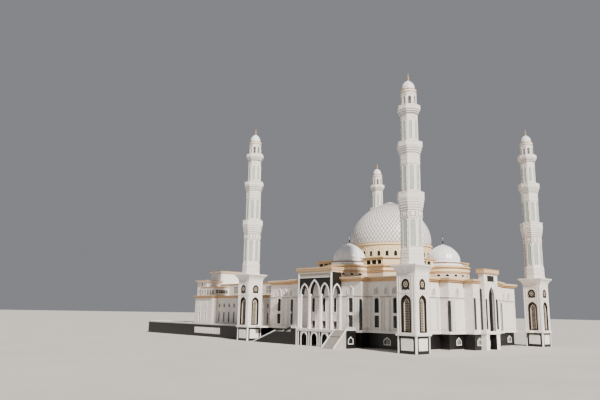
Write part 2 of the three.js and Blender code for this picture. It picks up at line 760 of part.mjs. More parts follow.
// The wing's walls, with the floor between its two rows of windows.
function wingWalls() {
  const ring = wingRing(0, wallThick, [terraceTop, wingBands[0][1]]);
  const floor = raised(wingOutline(wallThick - 1), wingMiddleFloor)
    .subtract(raised(hallOutline(ledge), [wingMiddleFloor[0] - 1, wingMiddleFloor[1] + 1]));
  const depth = [-wingBayReach - 1, wingBayReach + 1];
  const openings = [...wingBayWindowX, ...wingWindowX].flatMap((x) =>
    wingWindow.rows.map((height) => archCutter(x, wingWindow.width, height, depth)));
  return cut(ring, [...openings, mainFloor()]).add(floor);
}

function wingRoof() {
  const roof = joined(wingBands.map(([inset, low, high]) => raised(wingOutline(inset), [low, high])));
  return roof.subtract(raised(hallOutline(0), [wingBands[0][1] - 1, wingTop + 1]));
}

// The set-back upper storey, with a lower block over each bay of the wing; every room is open below.
function wingUpper() {
  const [end, side] = upperBlock.x;
  const storeys = (inset, low) => {
    const half = [upperHalf - inset, upperBlock.half - inset];
    return block([towerSide + inset, wingStart], [-half[0], half[0]], [low, upperTop - inset])
      .add(block([end + inset, side - inset], [-half[1], half[1]], [low, upperBlock.top - inset]));
  };
  const window = (x, { width, low, high }, half) =>
    block([x - width / 2, x + width / 2], [-half - 1, half + 1], [low, high]);
  const windows = [...upperWindowX.map((x) => window(x, upperWindow, upperHalf)),
    ...blockWindowX.map((x) => window(x, blockWindow, upperBlock.half))];
  const hall = raised(hallOutline(75), [wingTop - 1, upperTop + 1]);
  return cut(storeys(0, wingTop), [storeys(wallThick, wingTop - 1), ...windows, hall]);
}

// A block whose top flares outwards on all four sides under a flat edge.
function flaredBlock([x0, x1], [y0, y1], [z0, z1]) {
  const low = z1 - towerCap;
  const side = (a, b) => {
    const flare = flareSteps.map((t) => [towerOut * t * t, low + (towerCap - 30) * t]);
    const right = flare.map(([out, z]) => [b + out, z]);
    const left = flare.map(([out, z]) => [a - out, z]).reverse();
    return shapeOf([[a, z0], [b, z0], ...right, [b + towerOut, z1], [a - towerOut, z1], ...left]);
  };
  const along = through(side(x0, x1), [y0 - towerOut, y1 + towerOut]);
  const across = quarterTurns(through(side(y0, y1), [-x1 - towerOut, -x0 + towerOut]), 1);
  return along.intersect(across);
}

// The stair tower at the wing's end: a low front block and a taller one, both down to the terrace.
function wingTower() {
  const t = wallThick;
  const x = [towerEnd, towerSide];
  const blocks = [towerFront, towerBack].map(({ y, top }) => flaredBlock(x, y, [terraceTop, top]));
  const rooms = [towerFront, towerBack].map(({ y, top }) =>
    block([x[0] + t, x[1] - t], [y[0] + t, y[1] - t], [terraceTop - 1, top - t]));
  const wing = [
    raised(wingOutline(0), [terraceTop - 1, wingBands[0][1]]),
    raised(wingOutline(wingBands[2][0]), [wingBands[0][1], wingTop]),
    block(upperBlock.x, [-upperBlock.half, upperBlock.half], [wingTop, upperBlock.top])];
  return cut(joined(blocks), [...rooms, ...wing]);
}

// The whole building
add('ground_floor', groundFloor(), 'stone');
add('podium_walls', podiumWalls(), 'granite');
add('main_floor', mainFloor(), 'marble');
addHallWalls();
add('window_glass', windowGlass(), 'glass');
addDoors();
add('hall_roof', hallRoof(), 'gold');
add('attic_wall', atticWall(), 'marble');
add('attic_roof', atticRoof(), 'cream');
add('gallery_tier', galleryTier(), 'cream');
add('drum', drum(), 'cream');
const domeFootSpace = roundBlock(domeRadius * 2, [drumTop - 1, domeJoint], domeSides);
add('main_dome_foot', mainDome().intersect(domeFootSpace), 'dome');
add('main_dome', mainDome().subtract(domeFootSpace), 'dome');
['front', 'right', 'back', 'left'].forEach((side, i) => {
  const body = quarterTurns(smallDome().translate([0, -smallDomeReach, 0]), i);
  add(`${side}_small_dome`, body, 'dome');
});
add('portico_base', porticoBase(), 'marble');
add('portico_arcade', porticoArcade(), 'marble');
add('portico_roof', porticoRoof(), 'marble');
add('right_portal_base', quarterTurns(portalBase(), 1), 'granite');
add('right_portal', quarterTurns(portal(), 1), 'marble');
add('back_portal_base', quarterTurns(portalBase(), 2), 'granite');
add('back_portal', quarterTurns(portal(), 2), 'marble');
addMinarets();
add('left_stair', leftStair(), 'stone');
add('right_stair', rightStair(), 'stone');
add('wing_podium', wingPodium(), 'granite');
add('wing_terrace', wingTerrace(), 'stone');
add('wing_walls', wingWalls(), 'marble');
add('wing_roof', wingRoof(), 'gold');
add('wing_upper_storey', wingUpper(), 'marble');
add('wing_tower', wingTower(), 'marble');

export default mosque;
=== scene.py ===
# %% [markdown]
# # A mosque, dressed around its solid model
# The real building stands on a dark granite storey and is clad in white marble, with gold-coloured
# cornices, cream roof tiers, white domes and four slender minarets. The solid model that this script loads
# is a tenth of that size and already has the walls, roofs, domes and doors at their true places. Blender
# adds what a mason or a joiner would add last: mouldings, frames, screens and the finish of each surface.
# Everything is drawn in millimetres of the model, because small whole numbers are easy to read, and is
# scaled to metres once, when a piece is finished.

# %% Start and load the solid model
import bpy
import bmesh
import json
from math import cos, pi, radians, sin, sqrt, tan
from mathutils import Matrix, Vector


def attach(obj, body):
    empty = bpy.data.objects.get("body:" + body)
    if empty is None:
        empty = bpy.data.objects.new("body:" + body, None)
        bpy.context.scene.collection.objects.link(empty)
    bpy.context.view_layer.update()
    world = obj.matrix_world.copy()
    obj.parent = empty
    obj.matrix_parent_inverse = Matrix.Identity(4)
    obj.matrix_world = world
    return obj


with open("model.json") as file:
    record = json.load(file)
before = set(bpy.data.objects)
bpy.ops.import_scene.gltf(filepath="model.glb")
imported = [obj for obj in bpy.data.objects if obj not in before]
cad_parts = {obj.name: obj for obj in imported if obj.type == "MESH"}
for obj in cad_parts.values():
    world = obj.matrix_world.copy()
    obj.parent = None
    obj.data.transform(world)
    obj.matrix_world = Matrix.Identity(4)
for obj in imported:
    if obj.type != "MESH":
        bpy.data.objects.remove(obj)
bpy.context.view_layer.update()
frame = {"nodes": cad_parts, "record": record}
print("nodes loaded:", len(frame["nodes"]))

# %% [markdown]
# ## Camera
# A person stood on the ground before the front right corner and pointed the camera a little upwards, so
# the verticals lean together. The camera's turn, tilt and roll are written as three angles. A matrix is
# built from the three directions that they give, because it places the camera in one step.

# %% Camera
def photo_camera(place, turn, tilt, roll, lens):
    level = Vector((-sin(turn), cos(turn), 0))
    right = Vector((cos(turn), sin(turn), 0))
    ahead = cos(tilt) * level + sin(tilt) * Vector((0, 0, 1))
    above = -sin(tilt) * level + cos(tilt) * Vector((0, 0, 1))
    rolled_right = cos(roll) * right + sin(roll) * above
    rolled_up = -sin(roll) * right + cos(roll) * above
    camera = bpy.data.objects.new("camera", bpy.data.cameras.new("camera"))
    camera.data.lens = lens
    camera.matrix_world = Matrix((rolled_right, rolled_up, -ahead)).transposed().to_4x4()
    camera.matrix_world.translation = Vector(place)
    bpy.context.scene.collection.objects.link(camera)
    return camera


bpy.context.scene.camera = photo_camera(place=(12.4627, -15.6395, 0.99487), turn=radians(47.879),
                                        tilt=radians(11.339), roll=radians(1.024), lens=33.534)
print("lens in mm:", round(bpy.context.scene.camera.data.lens, 1))

# %% [markdown]
# ## Light
# The real building is lit by an afternoon sun that stands to the right of the entrance front, so the side
# with the gateway is bright and the front is grazed. A studio can copy that with one lamp that is wide
# enough for soft-edged shadows and a dim pale world that fills the shaded walls. The lamp is turned by a
# direction, because that is how light is thought of on a building site.

# %% Light
sun = bpy.data.objects.new("sun", bpy.data.lights.new("sun", "SUN"))
sun.data.energy = 8.0
sun.data.angle = radians(4)
sun.data.color = (1.0, 0.93, 0.85)
sun.rotation_euler = Vector((0.80, -0.22, 0.58)).to_track_quat("Z", "Y").to_euler()
bpy.context.scene.collection.objects.link(sun)
world = bpy.data.worlds.new("soft studio")
world.use_nodes = True
world.node_tree.nodes["Background"].inputs["Color"].default_value = (0.92, 0.94, 1.0, 1)
world.node_tree.nodes["Background"].inputs["Strength"].default_value = 0.26
bpy.context.scene.world = world
print("lamps:", len(bpy.data.lights))

# %% [markdown]
# ## Colours and nodes
# Paint cards and screens give colours as sRGB hex values, but the shader works with linear light, so one
# function turns one into the other. Each finish is a small network of nodes, and one function adds a node
# together with its settings and its links, so that a finish reads like a recipe.

# %% Colour and node helpers
def linear(hex_colour):
    values = [int(hex_colour[i:i + 2], 16) / 255 for i in (0, 2, 4)]
    return (*[v / 12.92 if v <= 0.04045 else ((v + 0.055) / 1.055) ** 2.4 for v in values], 1)


def add_node(tree, kind, settings, links):
    made = tree.nodes.new(kind)
    for name, value in settings.items():
        if isinstance(name, int) or name in made.inputs:
            made.inputs[name].default_value = value
        else:
            setattr(made, name, value)
    for name, source in links.items():
        tree.links.new(source, made.inputs[name])
    return made


def new_finish(name, roughness, metallic=0.0, ior=1.5):
    made = bpy.data.materials.new(name)
    made.use_nodes = True
    shader = made.node_tree.nodes["Principled BSDF"]
    shader.inputs["Roughness"].default_value = roughness
    shader.inputs["Metallic"].default_value = metallic
    if not metallic:
        shader.inputs["IOR"].default_value = ior
    return made, made.node_tree, shader


print("white in linear light:", [round(v, 2) for v in linear("f0ece6")])

# %% [markdown]
# ## Stone cladding
# The walls are clad in sawn slabs of white marble, and the lower storey in polished dark granite. Both
# are hung in courses with fine joints, so a brick pattern gives the slabs and a noise gives the stone's
# clouds. The stucco is scored into larger fields. A wall may face any side, so the pattern runs along the
# sum of X and Y and up Z, which lays it flat on the walls of all four sides. The joints are drawn a little
# wider than real ones, because a joint of 5 mm is half a millimetre here and would not show.

# %% Cladding finishes
def wall_coordinates(tree):
    place = add_node(tree, "ShaderNodeTexCoord", {}, {}).outputs["Object"]
    axes = add_node(tree, "ShaderNodeSeparateXYZ", {}, {"Vector": place})
    along = add_node(tree, "ShaderNodeMath", {"operation": "ADD"},
                     {0: axes.outputs["X"], 1: axes.outputs["Y"]})
    flat = add_node(tree, "ShaderNodeCombineXYZ", {}, {"X": along.outputs[0], "Y": axes.outputs["Z"]})
    return place, flat.outputs["Vector"]


JOINT = 0.0012
MARBLE_SLAB = (0.12, 0.06, JOINT)
GRANITE_SLAB = (0.12, 0.075, JOINT)
STUCCO_FIELD = (0.18, 0.09, JOINT)


def clad_in_slabs(name, light, dark, joint, slab, roughness, cloud_size):
    """slab is the width and height of one slab and the width of its joint, in metres of the model"""
    made, tree, shader = new_finish(name, roughness)
    place, flat = wall_coordinates(tree)
    clouds = add_node(tree, "ShaderNodeTexNoise", {"Scale": 1 / cloud_size, "Detail": 6, "Roughness": 0.6},
                      {"Vector": place})
    blend = add_node(tree, "ShaderNodeMapRange", {"From Min": 0.35, "From Max": 0.7},
                     {"Value": clouds.outputs["Fac"]})
    stone = add_node(tree, "ShaderNodeMix", {"data_type": "RGBA", 6: linear(light), 7: linear(dark)},
                     {0: blend.outputs[0]})
    slabs = add_node(tree, "ShaderNodeTexBrick",
                     {"Color1": (1, 1, 1, 1), "Color2": (0.93, 0.93, 0.93, 1), "Mortar": linear(joint),
                      "Scale": 1.0, "Mortar Size": slab[2], "Mortar Smooth": 0.2, "Brick Width": slab[0],
                      "Row Height": slab[1], "offset": 0.5}, {"Vector": flat})
    both = add_node(tree, "ShaderNodeMix", {"data_type": "RGBA", "blend_type": "MULTIPLY", 0: 1.0},
                    {6: stone.outputs[2], 7: slabs.outputs["Color"]})
    relief = add_node(tree, "ShaderNodeBump", {"Strength": 0.25, "Distance": 0.001, "invert": True},
                      {"Height": slabs.outputs["Fac"]})
    tree.links.new(both.outputs[2], shader.inputs["Base Color"])
    tree.links.new(relief.outputs["Normal"], shader.inputs["Normal"])
    return made


# White marble, sawn and honed: bright, faintly warm, with grey clouds and a soft sheen.
honed_marble = clad_in_slabs("honed_white_marble", "f3ede8", "e2dbd5", "cac2bb", MARBLE_SLAB, 0.45, 0.11)
# Granite, polished: nearly black, with mirror-like slabs that catch the sky.
polished_granite = clad_in_slabs("polished_black_granite", "0d0c0b", "1a1817", "3a3734", GRANITE_SLAB,
                                 0.38, 0.02)
# Limestone, sawn: a warm cream, matt.
cream_limestone = clad_in_slabs("sawn_cream_limestone", "ead9b8", "dcc69c", "bfa77c", MARBLE_SLAB,
                                0.62, 0.09)
# Stucco painted ochre gold with a dull metal pigment: a weak warm glint on the cornices.
ochre_stucco = clad_in_slabs("painted_ochre_stucco", "dabf9a", "c8a986", "a98e6c", STUCCO_FIELD, 0.5, 0.05)
# Stucco painted a pale warm beige: the attic behind the gold bands looks a little darker than the marble.
beige_stucco = clad_in_slabs("painted_beige_stucco", "dccbb8", "cdbba7", "b7a590", STUCCO_FIELD, 0.6, 0.08)
print("cladding finishes:", len(bpy.data.materials))

# %% [markdown]
# ## Plain stone, metal, wood and glass
# Carved mouldings are cut from single blocks and show no joints, only the stone's own clouds. The dome is
# covered in enamelled sheets, the window frames are anodised aluminium, the screens are cast panels and
# the doors are stained hardwood. Each gets a noise at the size of its own grain.

# %% Plain finishes
def grained(name, light, dark, grain, roughness, metallic=0.0, ior=1.5, stretch=(1, 1, 1), bump=0.1):
    """grain is the size of one grain or cloud in metres; stretch squeezes it along an axis"""
    made, tree, shader = new_finish(name, roughness, metallic, ior)
    place = add_node(tree, "ShaderNodeTexCoord", {}, {}).outputs["Object"]
    turned = add_node(tree, "ShaderNodeMapping", {"Scale": stretch}, {"Vector": place})
    grains = add_node(tree, "ShaderNodeTexNoise", {"Scale": 1 / grain, "Detail": 5, "Roughness": 0.6},
                      {"Vector": turned.outputs["Vector"]})
    blend = add_node(tree, "ShaderNodeMapRange", {"From Min": 0.3, "From Max": 0.7},
                     {"Value": grains.outputs["Fac"]})
    colour = add_node(tree, "ShaderNodeMix", {"data_type": "RGBA", 6: linear(light), 7: linear(dark)},
                      {0: blend.outputs[0]})
    relief = add_node(tree, "ShaderNodeBump", {"Strength": bump, "Distance": 0.001},
                      {"Height": grains.outputs["Fac"]})
    tree.links.new(colour.outputs[2], shader.inputs["Base Color"])
    tree.links.new(relief.outputs["Normal"], shader.inputs["Normal"])
    return made


# Marble carved by hand: white without joints, so edges read as crisp lines.
carved_marble = grained("carved_white_marble", "f5f3f0", "e6e3df", 0.06, 0.4)
# The same marble painted grey. In the sunk niche panels, beside the ribs, under the belt course and on the
# portico's fascia, the grey is painted shade. The minaret shafts' strips and boards use the same grey.
grey_and_shade_marble = grained("grey_and_shade_marble", "b8afa7", "a2998f", 0.06, 0.5)
# Steel sheet with baked enamel: an even white with a satin shine.
enamelled_steel = grained("enamelled_white_steel", "f3f3f4", "e4e5e8", 0.12, 0.32)
# Gold paint over stucco: warm, slightly metallic edges.
gold_paint = grained("gold_painted_stucco", "dbb384", "bf9362", 0.05, 0.42, 0.15)
# Oil paint of a dull dark red on the rings below the small domes.
russet_paint = grained("russet_oil_paint", "7d4a38", "633828", 0.05, 0.5)
# Limestone carved: cream without joints.
carved_limestone = grained("carved_cream_limestone", "f0e2c6", "e0cda6", 0.05, 0.55)
# Cast stone of the screens: a pale beige lattice. The dark umber board behind the screens and the gallery
# rails is painted shade in their gaps. The gateways' lattices and the medallions' grounds use the same
# umber.
cast_screen = grained("cast_beige_stone", "dccfba", "c8b89f", 0.02, 0.6)
umber_and_shade_board = grained("umber_stone_and_painted_shade", "4e4a41", "3b372f", 0.03, 0.7)
# Grey seams between the dome's sheets. The same grey under the minarets' corbel rings is their painted
# shadow.
seam_and_shadow_grey = grained("grey_seam_and_painted_shadow", "a39c98", "8d8682", 0.04, 0.7)
# Aluminium, anodised dark bronze: brown-black with a dull gleam.
bronze_frame = grained("bronze_anodised_aluminium", "3a2f28", "241d19", 0.03, 0.35, 0.6)
# Hardwood, stained and oiled: dark brown with upright grain.
stained_wood = grained("stained_hardwood", "36241b", "22160f", 0.012, 0.45, stretch=(1, 1, 0.12))
# Float glass over dark rooms: nearly black from outside, very smooth.
dark_glass = grained("dark_float_glass", "232b2d", "141a1c", 0.3, 0.08, ior=1.52, bump=0.02)
# Glass with a green tint in the minarets' slots.
green_glass = grained("green_tinted_glass", "b7c9c2", "9db3ab", 0.12, 0.15, ior=1.52, bump=0.02)
print("plain finishes:", len(bpy.data.materials))

# %% [markdown]
# ## Paving
# Floors and steps are laid with square slabs of pale stone. They lie flat, so their pattern runs along X
# and Y, without the turn that the walls need.

# %% Paving finish
def paved(name, light, dark, joint, slab):
    made, tree, shader = new_finish(name, 0.5)
    place = add_node(tree, "ShaderNodeTexCoord", {}, {}).outputs["Object"]
    clouds = add_node(tree, "ShaderNodeTexNoise", {"Scale": 12, "Detail": 5}, {"Vector": place})
    stone = add_node(tree, "ShaderNodeMix", {"data_type": "RGBA", 6: linear(light), 7: linear(dark)},
                     {0: clouds.outputs["Fac"]})
    slabs = add_node(tree, "ShaderNodeTexBrick",
                     {"Color1": (1, 1, 1, 1), "Color2": (0.94, 0.94, 0.94, 1), "Mortar": linear(joint),
                      "Scale": 1.0, "Mortar Size": JOINT, "Brick Width": slab, "Row Height": slab,
                      "offset": 0.0}, {"Vector": place})
    both = add_node(tree, "ShaderNodeMix", {"data_type": "RGBA", "blend_type": "MULTIPLY", 0: 1.0},
                    {6: stone.outputs[2], 7: slabs.outputs["Color"]})
    tree.links.new(both.outputs[2], shader.inputs["Base Color"])
    return made


# Granite paving, flamed: pale grey with a dull, even surface.
PAVING_SLAB = 0.08
flamed_paving = paved("flamed_pale_granite", "bcb7b1", "a8a39d", "8c8781", PAVING_SLAB)
print("paving slab in mm:", round(PAVING_SLAB * 1000))

# %% [markdown]
# ## The solid model's own surfaces
# The record names a stone, glass or wood for every node, so most of the building gets its finish by
# going through that list once. Mouldings of another colour are pieces of their own, added later.

# %% Finish the solid model
finish_of_slot = {
    "white_marble": honed_marble,
    "dark_granite": polished_granite,
    "ochre_stone": ochre_stucco,
    "cream_stone": cream_limestone,
    "white_dome_cladding": enamelled_steel,
    "window_glass": dark_glass,
    "dark_wood": stained_wood,
    "paving_stone": flamed_paving,
}
finish_of_node = {"attic_wall": beige_stucco}
for part in frame["record"]["subparts"]:
    mesh = frame["nodes"][part["node"]].data
    if not mesh.materials:
        mesh.materials.append(None)
    for i in range(len(mesh.materials)):
        mesh.materials[i] = finish_of_node.get(part["node"], finish_of_slot[part["material_slot"]])

# %% [markdown]
# ## Floor
# The building rests on a plain pale floor, a large plane that is part of the stage and not of the object.

# %% Floor
bpy.ops.mesh.primitive_plane_add(size=400, location=(0, 0, 0))
floor = bpy.context.object
floor.name = "studio_floor"
floor.data.materials.append(grained("pale_studio_floor", "c9c7c3", "c1bfbb", 2.0, 0.9, bump=0.0))
print("floor set")

# %% [markdown]
# ## Helpers for all pieces
# Masons carve one bracket or frame and repeat it round the building. The script does the same: a shape is
# drawn once in a bmesh, then stamped at many places by matrices, and at last made into one finished
# object that rides on the building. The four sides are quarter turns of the front, which faces -Y.

# %% Helpers: block, places, stamp, finish
def block(shape, x, y, z, bevel=0):
    """A block between two values along each axis, with its edges eased where a bevel is given"""
    middle = Vector((sum(x) / 2, sum(y) / 2, sum(z) / 2))
    size = Matrix.Diagonal((abs(x[1] - x[0]), abs(y[1] - y[0]), abs(z[1] - z[0]), 1))
    made = bmesh.ops.create_cube(shape, size=1, matrix=Matrix.Translation(middle) @ size)
    if bevel:
        edges = {edge for vert in made["verts"] for edge in vert.link_edges}
        bmesh.ops.bevel(shape, geom=list(edges), offset=bevel, offset_type="OFFSET", affect="EDGES",
                        segments=1, profile=0.5, material=-1, clamp_overlap=True)


def quarter(count):
    return Matrix.Rotation(count * pi / 2, 4, "Z")


def at(x=0, y=0, z=0):
    return Matrix.Translation((x, y, z))


FLIP = Matrix.Scale(-1, 4, (1, 0, 0))
BOTH_HANDS = (Matrix(), FLIP)
FRONT_AND_BACK = (Matrix(), Matrix.Scale(-1, 4, (0, 1, 0)))
# Turns a disc that was spun about Z so that it stands and faces -Y.
STANDING = Matrix.Rotation(pi / 2, 4, "X")


def stamp(target, source, places):
    """Adds a copy of the source shape to the target at each place; the source is used up"""
    bmesh.ops.recalc_face_normals(source, faces=source.faces)
    carved = bpy.data.meshes.new("stamp")
    source.to_mesh(carved)
    source.free()
    for place in places:
        copy = carved.copy()
        copy.transform(place)
        target.from_mesh(copy)
        bpy.data.meshes.remove(copy)
    bpy.data.meshes.remove(carved)


def finish_piece(name, shape, finish, body="building", smooth=False, second=None):
    """second is the finish of the faces whose material index was set to 1"""
    bmesh.ops.scale(shape, vec=(0.001, 0.001, 0.001), verts=shape.verts)
    bmesh.ops.recalc_face_normals(shape, faces=shape.faces)
    mesh = bpy.data.meshes.new(name)
    shape.to_mesh(mesh)
    shape.free()
    mesh.materials.append(finish)
    if second:
        mesh.materials.append(second)
    if smooth:
        mesh.shade_smooth()
        mesh.set_sharp_from_angle(angle=radians(38))
    made = bpy.data.objects.new(name, mesh)
    bpy.context.scene.collection.objects.link(made)
    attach(made, body)
    print(name, "faces", len(mesh.polygons))


def stamped_piece(name, source, places, finish, smooth=False):
    """One finished piece made of a single shape that is stamped at each place"""
    shape = bmesh.new()
    stamp(shape, source, places)
    finish_piece(name, shape, finish, smooth=smooth)

# %% [markdown]
# ## Arches
# The building repeats one pointed arch for its windows and gates, and a second one with a drawn-out tip,
# the ogee, for its niches. Both are drawn as a short line of points along a curve. A plate fills such an
# outline and is extruded to its depth; a frame is the strip between the outline and a wider one, made by
# bridging two loops, so that it stays one closed ring.

# %% Helpers: arches, plates and frames
def arch_points(width, low, spring, high, steps=5):
    half = width / 2
    rise = high - spring
    curve = [(half * (1 - t * t), spring + rise * (1.4 * t * (1 - t) + t * t))
             for t in [i / steps for i in range(steps + 1)]]
    return [(half, low), *curve, *[(-x, z) for x, z in reversed(curve[:-1])], (-half, low)]


def ogee_points(width, low, spring, high, steps=7):
    half = width / 2
    rise = high - spring
    curve = []
    for t in [i / steps for i in range(steps + 1)]:
        away = 1 - t
        x = half * (away ** 3 + 3 * away ** 2 * t + 3 * away * t ** 2 * 0.12)
        z = spring + rise * (3 * away ** 2 * t * 0.55 + 3 * away * t ** 2 * 0.6 + t ** 3)
        curve.append((x, z))
    return [(half, low), *curve, *[(-x, z) for x, z in reversed(curve[:-1])], (-half, low)]


def extrude_back(shape, faces, depth):
    made = bmesh.ops.extrude_face_region(shape, geom=faces)
    moved = [part for part in made["geom"] if isinstance(part, bmesh.types.BMVert)]
    bmesh.ops.translate(shape, vec=(0, depth, 0), verts=moved)


def plate(shape, points, front, back):
    """A flat plate facing -Y whose outline is the points, from front to back along Y"""
    verts = [shape.verts.new((x, front, z)) for x, z in points]
    extrude_back(shape, [shape.faces.new(verts)], back - front)


def loop(shape, points):
    verts = [shape.verts.new(point) for point in points]
    return [shape.edges.new((verts[i - 1], verts[i])) for i in range(len(verts))]


def frame_of(shape, outline, size, band, front, back):
    """A closed frame round an opening: outline draws it, size is its width, low, spring and high"""
    width, low, spring, high = size
    outer = loop(shape, [(x, front, z) for x, z in
                         outline(width + 2 * band, low - band, spring, high + band * 1.3)])
    inner = loop(shape, [(x, front, z) for x, z in outline(width, low, spring, high)])
    made = bmesh.ops.bridge_loops(shape, edges=outer + inner)
    extrude_back(shape, made["faces"], back - front)


def hood_of(shape, outline, size, band, front, back):
    """The same frame without its lower bar, open at the foot"""
    width, low, spring, high = size
    outer = outline(width + 2 * band, low, spring, high + band * 1.3)
    inner = outline(width, low, spring, high)
    plate(shape, [*outer, *reversed(inner)], front, back)


def bars(shape, x, z, columns, rows, thick, front, back):
    """Upright and level bars that share out a rectangle, as in a window"""
    for i in range(1, columns):
        middle = x[0] + (x[1] - x[0]) * i / columns
        block(shape, (middle - thick / 2, middle + thick / 2), (front, back), z)
    for i in range(1, rows):
        middle = z[0] + (z[1] - z[0]) * i / rows
        block(shape, x, (front + 0.7, back - 0.7), (middle - thick / 2, middle + thick / 2))


print("arch points:", len(arch_points(160, 590, 849, 945)))

# %% [markdown]
# ## Mouldings that follow the plan
# A cornice runs round the whole plan with mitred corners. One loop of the plan's corners is drawn for each
# point of the cornice's section, a little further out each time. Neighbouring loops are joined corner to
# corner: on a plan of four corners an automatic bridge can pair the wrong ones, and its faces then cross the
# whole roof. Round cornices, drums and finials are spun from half a section instead.

# %% Helpers: mouldings round a plan and turned rings
def moulding(shape, outline, section):
    """outline(out) gives the plan's corners; section is a closed row of out and height pairs"""
    loops = [[shape.verts.new((x, y, z)) for x, y in outline(out)] for out, z in section]
    for i in range(len(loops)):
        near, far = loops[i - 1], loops[i]
        for k in range(len(near)):
            shape.faces.new((near[k - 1], near[k], far[k], far[k - 1]))


def bead_section(back, cheek, nose, low, high):
    """The section of a bead: flat behind, with a nose half way up"""
    return [(back, low), (cheek, low), (nose, (low + high) / 2), (cheek, high), (back, high)]


def band_section(back, front, low, high):
    """The section of a flat band"""
    return [(back, low), (front, low), (front, high), (back, high)]


def turned(shape, section, steps, closed=True):
    """A section of radius and height pairs, spun about Z; an open one starts and ends on the axis"""
    verts = [shape.verts.new((r, 0, z)) for r, z in section]
    pairs = list(zip(verts, verts[1:])) + ([(verts[-1], verts[0])] if closed else [])
    edges = [shape.edges.new(pair) for pair in pairs]
    bmesh.ops.spin(shape, geom=verts + edges, cent=(0, 0, 0), axis=(0, 0, 1), angle=2 * pi, steps=steps,
                   use_merge=True)
    poles = [vert for vert in shape.verts if abs(vert.co.x) < 0.01 and abs(vert.co.y) < 0.01]
    bmesh.ops.remove_doubles(shape, verts=poles, dist=0.05)


def turned_ring(section, steps):
    shape = bmesh.new()
    turned(shape, section, steps)
    return shape


# The hall is square with a bay in the middle of each side; all stand on the ledge over the podium.
HALL_HALF = 2980
BAY_HALF = 1510
BAY_REACH = 3290
LEDGE = 505
# The tier has cut corners. A small dome stands just within each of its sides, over a round bay.
TIER_FLAT = 1430
TIER_SIDE = 2170
DOME_PLACE = 2150
ROUND_BAY = 780


def four_sides(side):
    """The corners of the front side, and the same again for the three other sides"""
    return [[(x, y), (-y, x), (-x, -y), (y, -x)][i] for i in range(4) for x, y in side]


def hall_plan(out):
    hall, bay, reach = HALL_HALF + out, BAY_HALF + out, BAY_REACH + out
    return four_sides([(-hall, -hall), (-bay, -hall), (-bay, -reach), (bay, -reach), (bay, -hall)])


def tier_plan(out):
    flat, side = TIER_FLAT + out * tan(pi / 8), TIER_SIDE + out
    return four_sides([(-flat, -side), (flat, -side)])


def attic_plan(out, steps=18):
    """The tier with a round bay in the middle of each side"""
    flat, side, radius = TIER_FLAT + out, TIER_SIDE + out, ROUND_BAY + out
    reach = sqrt(radius ** 2 - (side - DOME_PLACE) ** 2)
    end = abs(Vector((reach, side - DOME_PLACE)).angle_signed(Vector((0, 1))))
    arc = []
    for i in range(steps + 1):
        turn = -end + 2 * end * i / steps
        arc.append((radius * sin(turn), -DOME_PLACE - radius * cos(turn)))
    return four_sides([(-flat, -side), *arc, (flat, -side)])


def box_plan(x, y):
    """Gives a plan, a function like the ones above, for a plain box"""
    def plan(out):
        return [(x[0] - out, y[0] - out), (x[1] + out, y[0] - out),
                (x[1] + out, y[1] + out), (x[0] - out, y[1] + out)]
    return plan


print("corners of the hall's plan:", len(hall_plan(0)))

# %% [markdown]
# ## Hall cornice
# The hall's gold cornice is a stack of a flat band, a cushion and a drip edge. The solid has three square
# steps; a rounded bead under each step catches the sun as one bright line, as plaster mouldings do.

# %% Hall cornice
shape = bmesh.new()
for out, z, size in [(0, 1920, 14), (40, 1954, 14), (75, 1999, 14)]:
    moulding(shape, hall_plan, bead_section(out - 4, out + size * 0.6, out + size, z - size, z))
finish_piece("hall_cornice_beads", shape, gold_paint)
shape = bmesh.new()
moulding(shape, hall_plan, band_section(68, 84, 2028, 2046))
finish_piece("hall_cornice_edge", shape, carved_limestone)

# %% [markdown]
# ## Hall windows
# On the entrance front two windows stand above each other in one tall white frame, with a sill between
# them. The solid has the openings and a sheet of glass far behind them. Real panes sit near the face of
# such a thin-clad wall, so each opening gets its own pane close to the front, with bronze bars before it.
# A pane or bar may run on into the wall's stone, where its edge is hidden, so both are plain rectangles
# and the arched opening cuts them to shape.

# %% Hall windows
WINDOW_FACES = [(1100, -BAY_REACH), (1830, -HALL_HALF), (2515, -HALL_HALF)]
window_places = [hand @ at(x, y) for x, y in WINDOW_FACES for hand in BOTH_HANDS]
column = bmesh.new()
for x in (-104, 104):
    block(column, (x - 15, x + 15), (-7, 4), (530, 1496), 2)
block(column, (-122, 122), (-20, 4), (LEDGE, 532), 4)
block(column, (-106, 106), (-8, 12), (948, 1012), 2)
block(column, (-116, 116), (-24, 4), (936, 952), 3)
hood_of(column, arch_points, (172, 1371, 1373, 1476), 15, -7, 4)
stamped_piece("hall_window_frames", column, window_places, carved_marble)
pane = bmesh.new()
for low, high in [(594, 949), (1008, 1480)]:
    block(pane, (-92, 92), (24, 28), (low, high), 1)
stamped_piece("hall_window_panes", pane, window_places, dark_glass)
bronze = bmesh.new()
for low, high, rows in [(594, 949, 3), (1008, 1480, 4)]:
    bars(bronze, (-90, 90), (low, high), 3, rows, 6, 15, 23)
stamped_piece("hall_window_bars", bronze, window_places, bronze_frame)
